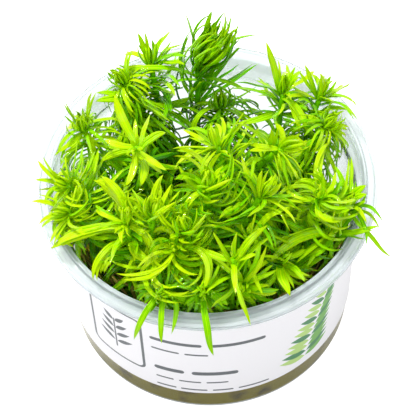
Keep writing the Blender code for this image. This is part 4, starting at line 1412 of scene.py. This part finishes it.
def framed_sprig():
    """(outline, ink) of the outlined box and the plain sprig in it."""
    left, low, right, high = FRAME_BOX
    middle = (left + right) / 2
    line, half_stem = FRAME_LINE, SPRIG_HALF_STEM
    marks = [
        (rounded_box(left, low, right, high, FRAME_RADIUS), INK),
        (rounded_box(left + line, low + line, right - line, high - line, FRAME_INNER_RADIUS), FILM),
        (rounded_box(middle - half_stem, low + 5, middle + half_stem, high - 6, 0.2, 2), INK),
    ]
    for k in range(SPRIG_PAIRS):
        z = low + 8 + SPRIG_SPACE * k
        for side in (-1, 1):
            foot, tip = (middle + 0.3 * side, z), (middle + (5.4 - 0.7 * k) * side, z + 3)
            marks.append((leaflet(foot, tip, 1.7), INK))
    return marks


def ruled_lines():
    """(outline, ink) of each dash of the ruled lines."""
    marks = []
    for z, height, dashes in RULED_LINES:
        for start, end in dashes:
            marks.append((rounded_box(start, z - height / 2, end, z + height / 2, height * 0.45, 3), INK))
    return marks


def green_sprig():
    """(outline, ink) of the leaves of a generic sprig in three greens, smaller towards its top."""
    marks = []
    for k in range(GREEN_PAIRS):
        share = k / (GREEN_PAIRS - 1)
        foot = (GREEN_FOOT[0] + GREEN_RISE[0] * share ** 1.3, GREEN_FOOT[1] + GREEN_RISE[1] * share)
        for side, green in ((-1, LIGHT_GREEN), (1, MID_GREEN)):
            tip = (foot[0] + side * (8.5 - 4.0 * share), foot[1] + 2.6 + 1.4 * share)
            marks.append((leaflet(foot, tip, 2.9 - 0.8 * share), DEEP_GREEN if k % 3 == 1 else green))
    marks.append((leaflet((34.5, 41), (35.4, 46.5), 2.2), LIGHT_GREEN))
    return marks


LABEL_COLUMNS = 60       # strips in which the film bends round the wall
CUT_TOLERANCE = 1e-4


def label_sheet():
    """The printed face as flat triangles, cut along every mark, with each triangle's ink."""
    half = LABEL_HALF_ANGLE * wall_radius((LABEL_LOW + LABEL_HIGH) / 2)
    points, faces, inks = [], [], []

    def outline(corners, ink):
        """Adds a face, anticlockwise as the triangulation takes its inside."""
        area = sum(a[0] * b[1] - b[0] * a[1] for a, b in zip(corners, corners[1:] + corners[:1]))
        corners = corners if area > 0 else corners[::-1]
        first = len(points)
        points.extend(Vector(corner) for corner in corners)
        faces.append(list(range(first, len(points))))
        inks.append(ink)

    for k in range(LABEL_COLUMNS):
        left, right = half * (2 * k / LABEL_COLUMNS - 1), half * (2 * (k + 1) / LABEL_COLUMNS - 1)
        outline([(left, LABEL_LOW), (right, LABEL_LOW), (right, LABEL_HIGH), (left, LABEL_HIGH)], FILM)
    # Where marks overlap, the later one is on top.
    for corners, ink in framed_sprig() + ruled_lines() + green_sprig():
        outline(corners, ink)
    flat, _, triangles, _, _, origins = delaunay_2d_cdt(points, [], faces, 1, CUT_TOLERANCE)
    kept = [(face, inks[max(origin)]) for face, origin in zip(triangles, origins) if origin]
    return flat, half, kept


def band_faces(kept, count):
    """Faces of the film: its printed side, its back, and its cut edges between them."""
    front = [tuple(face) for face, _ in kept]
    back = [tuple(k + count for k in reversed(face)) for face in front]
    sides = dict.fromkeys((a, b) for face in front for a, b in zip(face, face[1:] + face[:1]))
    edges = [(b, a, a + count, b + count) for a, b in sides if (b, a) not in sides]
    return front + back + edges


# Old leaves on the gel: how far from the cup's axis they start, how far from the wall they stop, how high
# over the gel they start, and their length, width and tone.
OLD_LEAF_REACH, OLD_LEAF_MARGIN, OLD_LEAF_RISE = 35, 0.5, (0.6, 5)
OLD_LEAF_LENGTH, OLD_LEAF_WIDTH, OLD_LEAF_TONE = (5, 11), (1.2, 2.2), (0.15, 1)

# Old leaves by the wall: how high they start, how far inside it, how far from it they stop, and the rest.
STUCK_HEIGHTS, STUCK_INSET, STUCK_MARGIN = (GEL_TOP + 14, LEDGE_Z - 2), (1, 6), 0.4
STUCK_LENGTH, STUCK_WIDTH, STUCK_TONE = (4, 9), (1.4, 2.6), (0.3, 1)

# Roots on the gel: the same places as for its leaves, then the stations along one, the space between them,
# the radius at the first, the station where one would come to a point if it went on, and their tone.
ROOT_REACH, ROOT_MARGIN, ROOT_RISE = 36, 0.6, (0.1, 0.7)
ROOT_STATIONS, ROOT_STEP, ROOT_RADIUS, ROOT_POINT, ROOT_TONE = 9, 1.3, 0.16, 12, (0.1, 0.9)
LITTER_SEED = 77


def inside_wall(points, margin):
    """True if the points all keep a margin to the cup's wall."""
    return all(math.hypot(p.x, p.y) < inner_radius(p.z) - margin for p in points)


def place_on_gel(chance, reach, nearest, rise):
    """A random point over the gel, out to a reach from the cup's axis."""
    turn, out = chance.uniform(0, math.tau), reach * math.sqrt(chance.uniform(nearest, 1))
    return Vector((out * math.cos(turn), out * math.sin(turn), GEL_TOP + chance.uniform(*rise)))


def lay_leaves(litter, count, chance):
    """Withered leaves that lie on the gel."""
    for _ in range(count):
        root = place_on_gel(chance, OLD_LEAF_REACH, 0.1, OLD_LEAF_RISE)
        heading = chance.uniform(0, math.tau)
        aim = Vector((math.cos(heading), math.sin(heading), chance.uniform(0, 0.35)))
        length = chance.uniform(*OLD_LEAF_LENGTH)
        frames = bent_path(root, aim, UP, length, chance.uniform(0.2, 1.2), chance.uniform(-1, 1))
        if inside_wall([frame[0] for frame in frames], OLD_LEAF_MARGIN):
            width, tone = chance.uniform(*OLD_LEAF_WIDTH), chance.uniform(*OLD_LEAF_TONE)
            litter.leaf(frames, width, tone, chance.uniform(-0.4, 0.4))


def stick_leaves(litter, count, chance):
    """Withered bits that cling beside the front half of the wall."""
    for _ in range(count):
        turn, z = chance.uniform(-math.pi, 0), chance.uniform(*STUCK_HEIGHTS)
        outward = Vector((math.cos(turn), math.sin(turn), 0))
        root = outward * (inner_radius(z) - chance.uniform(*STUCK_INSET)) + UP * z
        side = outward.cross(UP) * chance.choice((-1, 1))
        aim = side * chance.uniform(0.2, 1) + UP * chance.uniform(-1, 0.6)
        length, swirl = chance.uniform(*STUCK_LENGTH), chance.uniform(-1.2, 1.2)
        frames = bent_path(root, aim, -outward, length, -0.2, swirl)
        if inside_wall([frame[0] for frame in frames], STUCK_MARGIN):
            litter.leaf(frames, chance.uniform(*STUCK_WIDTH), chance.uniform(*STUCK_TONE))


def spread_roots(roots, count, chance):
    """Fine roots that wander over the gel, thinner towards their ends."""
    radii = [ROOT_RADIUS * (1 - k / ROOT_POINT) for k in range(ROOT_STATIONS)]
    for _ in range(count):
        point = place_on_gel(chance, ROOT_REACH, 0.05, ROOT_RISE)
        heading, path = chance.uniform(0, math.tau), []
        for _ in range(ROOT_STATIONS):
            along = Vector((math.cos(heading), math.sin(heading), 0))
            path.append((point.copy(), along))
            point = point + along * ROOT_STEP
            heading += chance.uniform(-0.5, 0.5)
        if inside_wall([place for place, _ in path], ROOT_MARGIN):
            roots.tube(path, radii, chance.uniform(*ROOT_TONE), 6)


# The stage, in metres.
FLOOR_HALF = 3.0
LAMP_SIZE, LAMP_PLACE, LAMP_TARGET = 0.18, (-0.25, 0.35, 0.75), (0, 0, 0.05)
SENSOR_MM = 36.0
CLIP_START, CLIP_END = 0.01, 20.0
LIGHT_BOUNCES = 32       # light crosses the cup's thin wall and flange many times before it leaves them


def white_surround(scene, strength):
    """Even white light from all round."""
    world = bpy.data.worlds.new("white surround")
    world.use_nodes = True
    back = world.node_tree.nodes["Background"]
    back.inputs["Color"].default_value = (1, 1, 1, 1)
    back.inputs["Strength"].default_value = strength
    scene.world = world


def white_floor(scene):
    """A matt white board under the cup, burnt out to white where it is seen, as a lit sweep is."""
    mesh = bpy.data.meshes.new("floor")
    corners = [(x * FLOOR_HALF, y * FLOOR_HALF, 0) for x, y in ((-1, -1), (1, -1), (1, 1), (-1, 1))]
    mesh.from_pydata(corners, [], [(0, 1, 2, 3)])
    paint, tree, shader = new_material("matt white board")
    seen = add_node(tree, "ShaderNodeLightPath").outputs["Is Camera Ray"]
    glow = add_node(tree, "ShaderNodeMath", {0: seen, 1: 0.8, 2: 0.2}, operation="MULTIPLY_ADD")
    set_inputs(tree, shader, {
        "Base Color": linear("E6E6E6"), "Roughness": 0.9, "Emission Color": linear("FFFFFF"),
        "Emission Strength": glow.outputs[0],
    })
    mesh.materials.append(paint)
    floor = bpy.data.objects.new("floor", mesh)
    scene.collection.objects.link(floor)


def softbox(scene, power):
    """A round soft light overhead, behind the cup and to its left."""
    light = bpy.data.lights.new("softbox", "AREA")
    light.shape, light.size, light.energy = "DISK", LAMP_SIZE, power
    lamp = bpy.data.objects.new("softbox", light)
    lamp.location = LAMP_PLACE
    lamp.rotation_mode = "QUATERNION"
    lamp.rotation_quaternion = (lamp.location - Vector(LAMP_TARGET)).to_track_quat("Z", "Y")
    scene.collection.objects.link(lamp)


def front_camera(scene, look):
    """A camera in front of the cup that looks down at it."""
    camera = bpy.data.cameras.new("camera")
    camera.sensor_width, camera.lens = SENSOR_MM, look.lens
    camera.clip_start, camera.clip_end = CLIP_START, CLIP_END
    eye = bpy.data.objects.new("camera", camera)
    ahead = Vector((0, math.cos(look.elevation), -math.sin(look.elevation)))
    right = Quaternion(ahead, look.roll) @ Vector((1, 0, 0))
    matrix = Matrix((right, right.cross(ahead), -ahead)).transposed().to_4x4()
    matrix.translation = Vector((0, 0, look.target)) - ahead * look.distance
    eye.matrix_world = matrix
    scene.collection.objects.link(eye)
    scene.camera = eye


class PLANTCUP_OT_cup(bpy.types.Operator):
    """Turns the clear cup with its rounded foot, ledge, bead and flange"""

    bl_idname = "plantcup.cup"
    bl_label = "Clear cup"

    def execute(self, context):
        look = context.scene.plantcup_cup
        points, faces = turned(cup_profile(), look.sides)
        add_piece("clear_cup", points, faces, [clear_polystyrene(look)], ("cup",))
        return {"FINISHED"}


class PLANTCUP_OT_gel(bpy.types.Operator):
    """Fills the cup's foot with gel"""

    bl_idname = "plantcup.gel"
    bl_label = "Nutrient gel"

    def execute(self, context):
        points, faces = turned(gel_profile(), GEL_SIDES)
        material = agar_gel(context.scene.plantcup_gel)
        add_piece("nutrient_gel", points, faces, [material], ("gel",))
        return {"FINISHED"}


class PLANTCUP_OT_label(bpy.types.Operator):
    """Wraps the printed band round the front of the wall"""

    bl_idname = "plantcup.label"
    bl_label = "Printed band"

    def execute(self, context):
        look = context.scene.plantcup_label
        flat, half, kept = label_sheet()
        points = []
        for layer in (1, 0):
            for x, z in flat:
                turn = -math.pi / 2 + LABEL_HALF_ANGLE * x / half
                radius = wall_radius(z) + GAP + layer * LABEL_THICKNESS
                points.append((radius * math.cos(turn), radius * math.sin(turn), z))
        faces = band_faces(kept, len(flat))
        indices = [ink for _, ink in kept]
        indices += [FILM] * (len(faces) - len(indices))
        materials = [
            coated_film("coated film", look.film), coated_film("grey ink on film", look.ink),
            coated_film("light green ink on film", look.light_green),
            coated_film("mid green ink on film", look.mid_green),
            coated_film("deep green ink on film", look.deep_green),
        ]
        add_piece(
            "printed_band", points, faces, materials, ("label",), indices=indices, smooth=False
        )
        return {"FINISHED"}


class PLANTCUP_OT_shoots(bpy.types.Operator):
    """Grows the shoots, leaf by leaf, where the packed shoots stand"""

    bl_idname = "plantcup.shoots"
    bl_label = "Leafy shoots"

    def execute(self, context):
        look = context.scene.plantcup_shoots
        material = fresh_leaf(look)
        for number, growth in enumerate(grow()):
            dress(growth, number, look, material)
        return {"FINISHED"}


class PLANTCUP_OT_litter(bpy.types.Operator):
    """Lays old leaves and fine roots on the gel"""

    bl_idname = "plantcup.litter"
    bl_label = "Old leaves and roots"

    def execute(self, context):
        look, shoots = context.scene.plantcup_gel, context.scene.plantcup_shoots
        material = withered_leaf()
        chance = random.Random(LITTER_SEED)
        litter, roots = Foliage(shoots), Foliage(shoots)
        lay_leaves(litter, look.old_leaves, chance)
        stick_leaves(litter, look.stuck_leaves, chance)
        litter.build("old_leaves", material, "leaf")
        spread_roots(roots, look.roots, chance)
        roots.build("surface_roots", material, "gel")
        return {"FINISHED"}


class PLANTCUP_OT_stage(bpy.types.Operator):
    """Sets up the pale floor, the soft white light and the camera"""

    bl_idname = "plantcup.stage"
    bl_label = "Stage"

    def execute(self, context):
        look, scene = context.scene.plantcup_stage, context.scene
        scene.view_settings.view_transform = "Standard"
        scene.cycles.max_bounces = scene.cycles.transmission_bounces = LIGHT_BOUNCES
        white_surround(scene, look.daylight)
        white_floor(scene)
        softbox(scene, look.softbox)
        front_camera(scene, look)
        return {"FINISHED"}


class PLANTCUP_PT_panel(bpy.types.Panel):
    """Lists the pieces in the order in which they are built, and what can be set for each"""

    bl_idname = "PLANTCUP_PT_panel"
    bl_label = "Plant cup"
    bl_space_type = "VIEW_3D"
    bl_region_type = "UI"
    bl_category = "Plant cup"

    def draw(self, context):
        for operator in OPERATORS:
            self.layout.operator(operator.bl_idname)
        for name, group in SETTINGS.items():
            box = self.layout.box()
            box.label(text=group.__doc__)
            settings = getattr(context.scene, name)
            for key in group.__annotations__:
                box.prop(settings, key)


OPERATORS = (
    PLANTCUP_OT_stage, PLANTCUP_OT_cup, PLANTCUP_OT_label, PLANTCUP_OT_gel, PLANTCUP_OT_litter,
    PLANTCUP_OT_shoots,
)
SETTINGS = {
    "plantcup_cup": CupLook, "plantcup_gel": GelLook, "plantcup_label": LabelLook,
    "plantcup_shoots": ShootLook, "plantcup_stage": StageLook,
}


def register():
    """Registers the settings, the operators and the panel."""
    for group in SETTINGS.values():
        bpy.utils.register_class(group)
    for name, group in SETTINGS.items():
        setattr(bpy.types.Scene, name, PointerProperty(type=group))
    for operator in OPERATORS + (PLANTCUP_PT_panel,):
        bpy.utils.register_class(operator)


def unregister():
    """Takes back what register did, in the opposite order."""
    for operator in reversed(OPERATORS + (PLANTCUP_PT_panel,)):
        bpy.utils.unregister_class(operator)
    for name in SETTINGS:
        delattr(bpy.types.Scene, name)
    for group in reversed(list(SETTINGS.values())):
        bpy.utils.unregister_class(group)


def main():
    """Builds every piece round the packed model."""
    register()
    bpy.ops.plantcup.stage()
    bpy.ops.plantcup.cup()
    bpy.ops.plantcup.label()
    bpy.ops.plantcup.gel()
    bpy.ops.plantcup.litter()
    bpy.ops.plantcup.shoots()


if __name__ == "__main__":
    main()
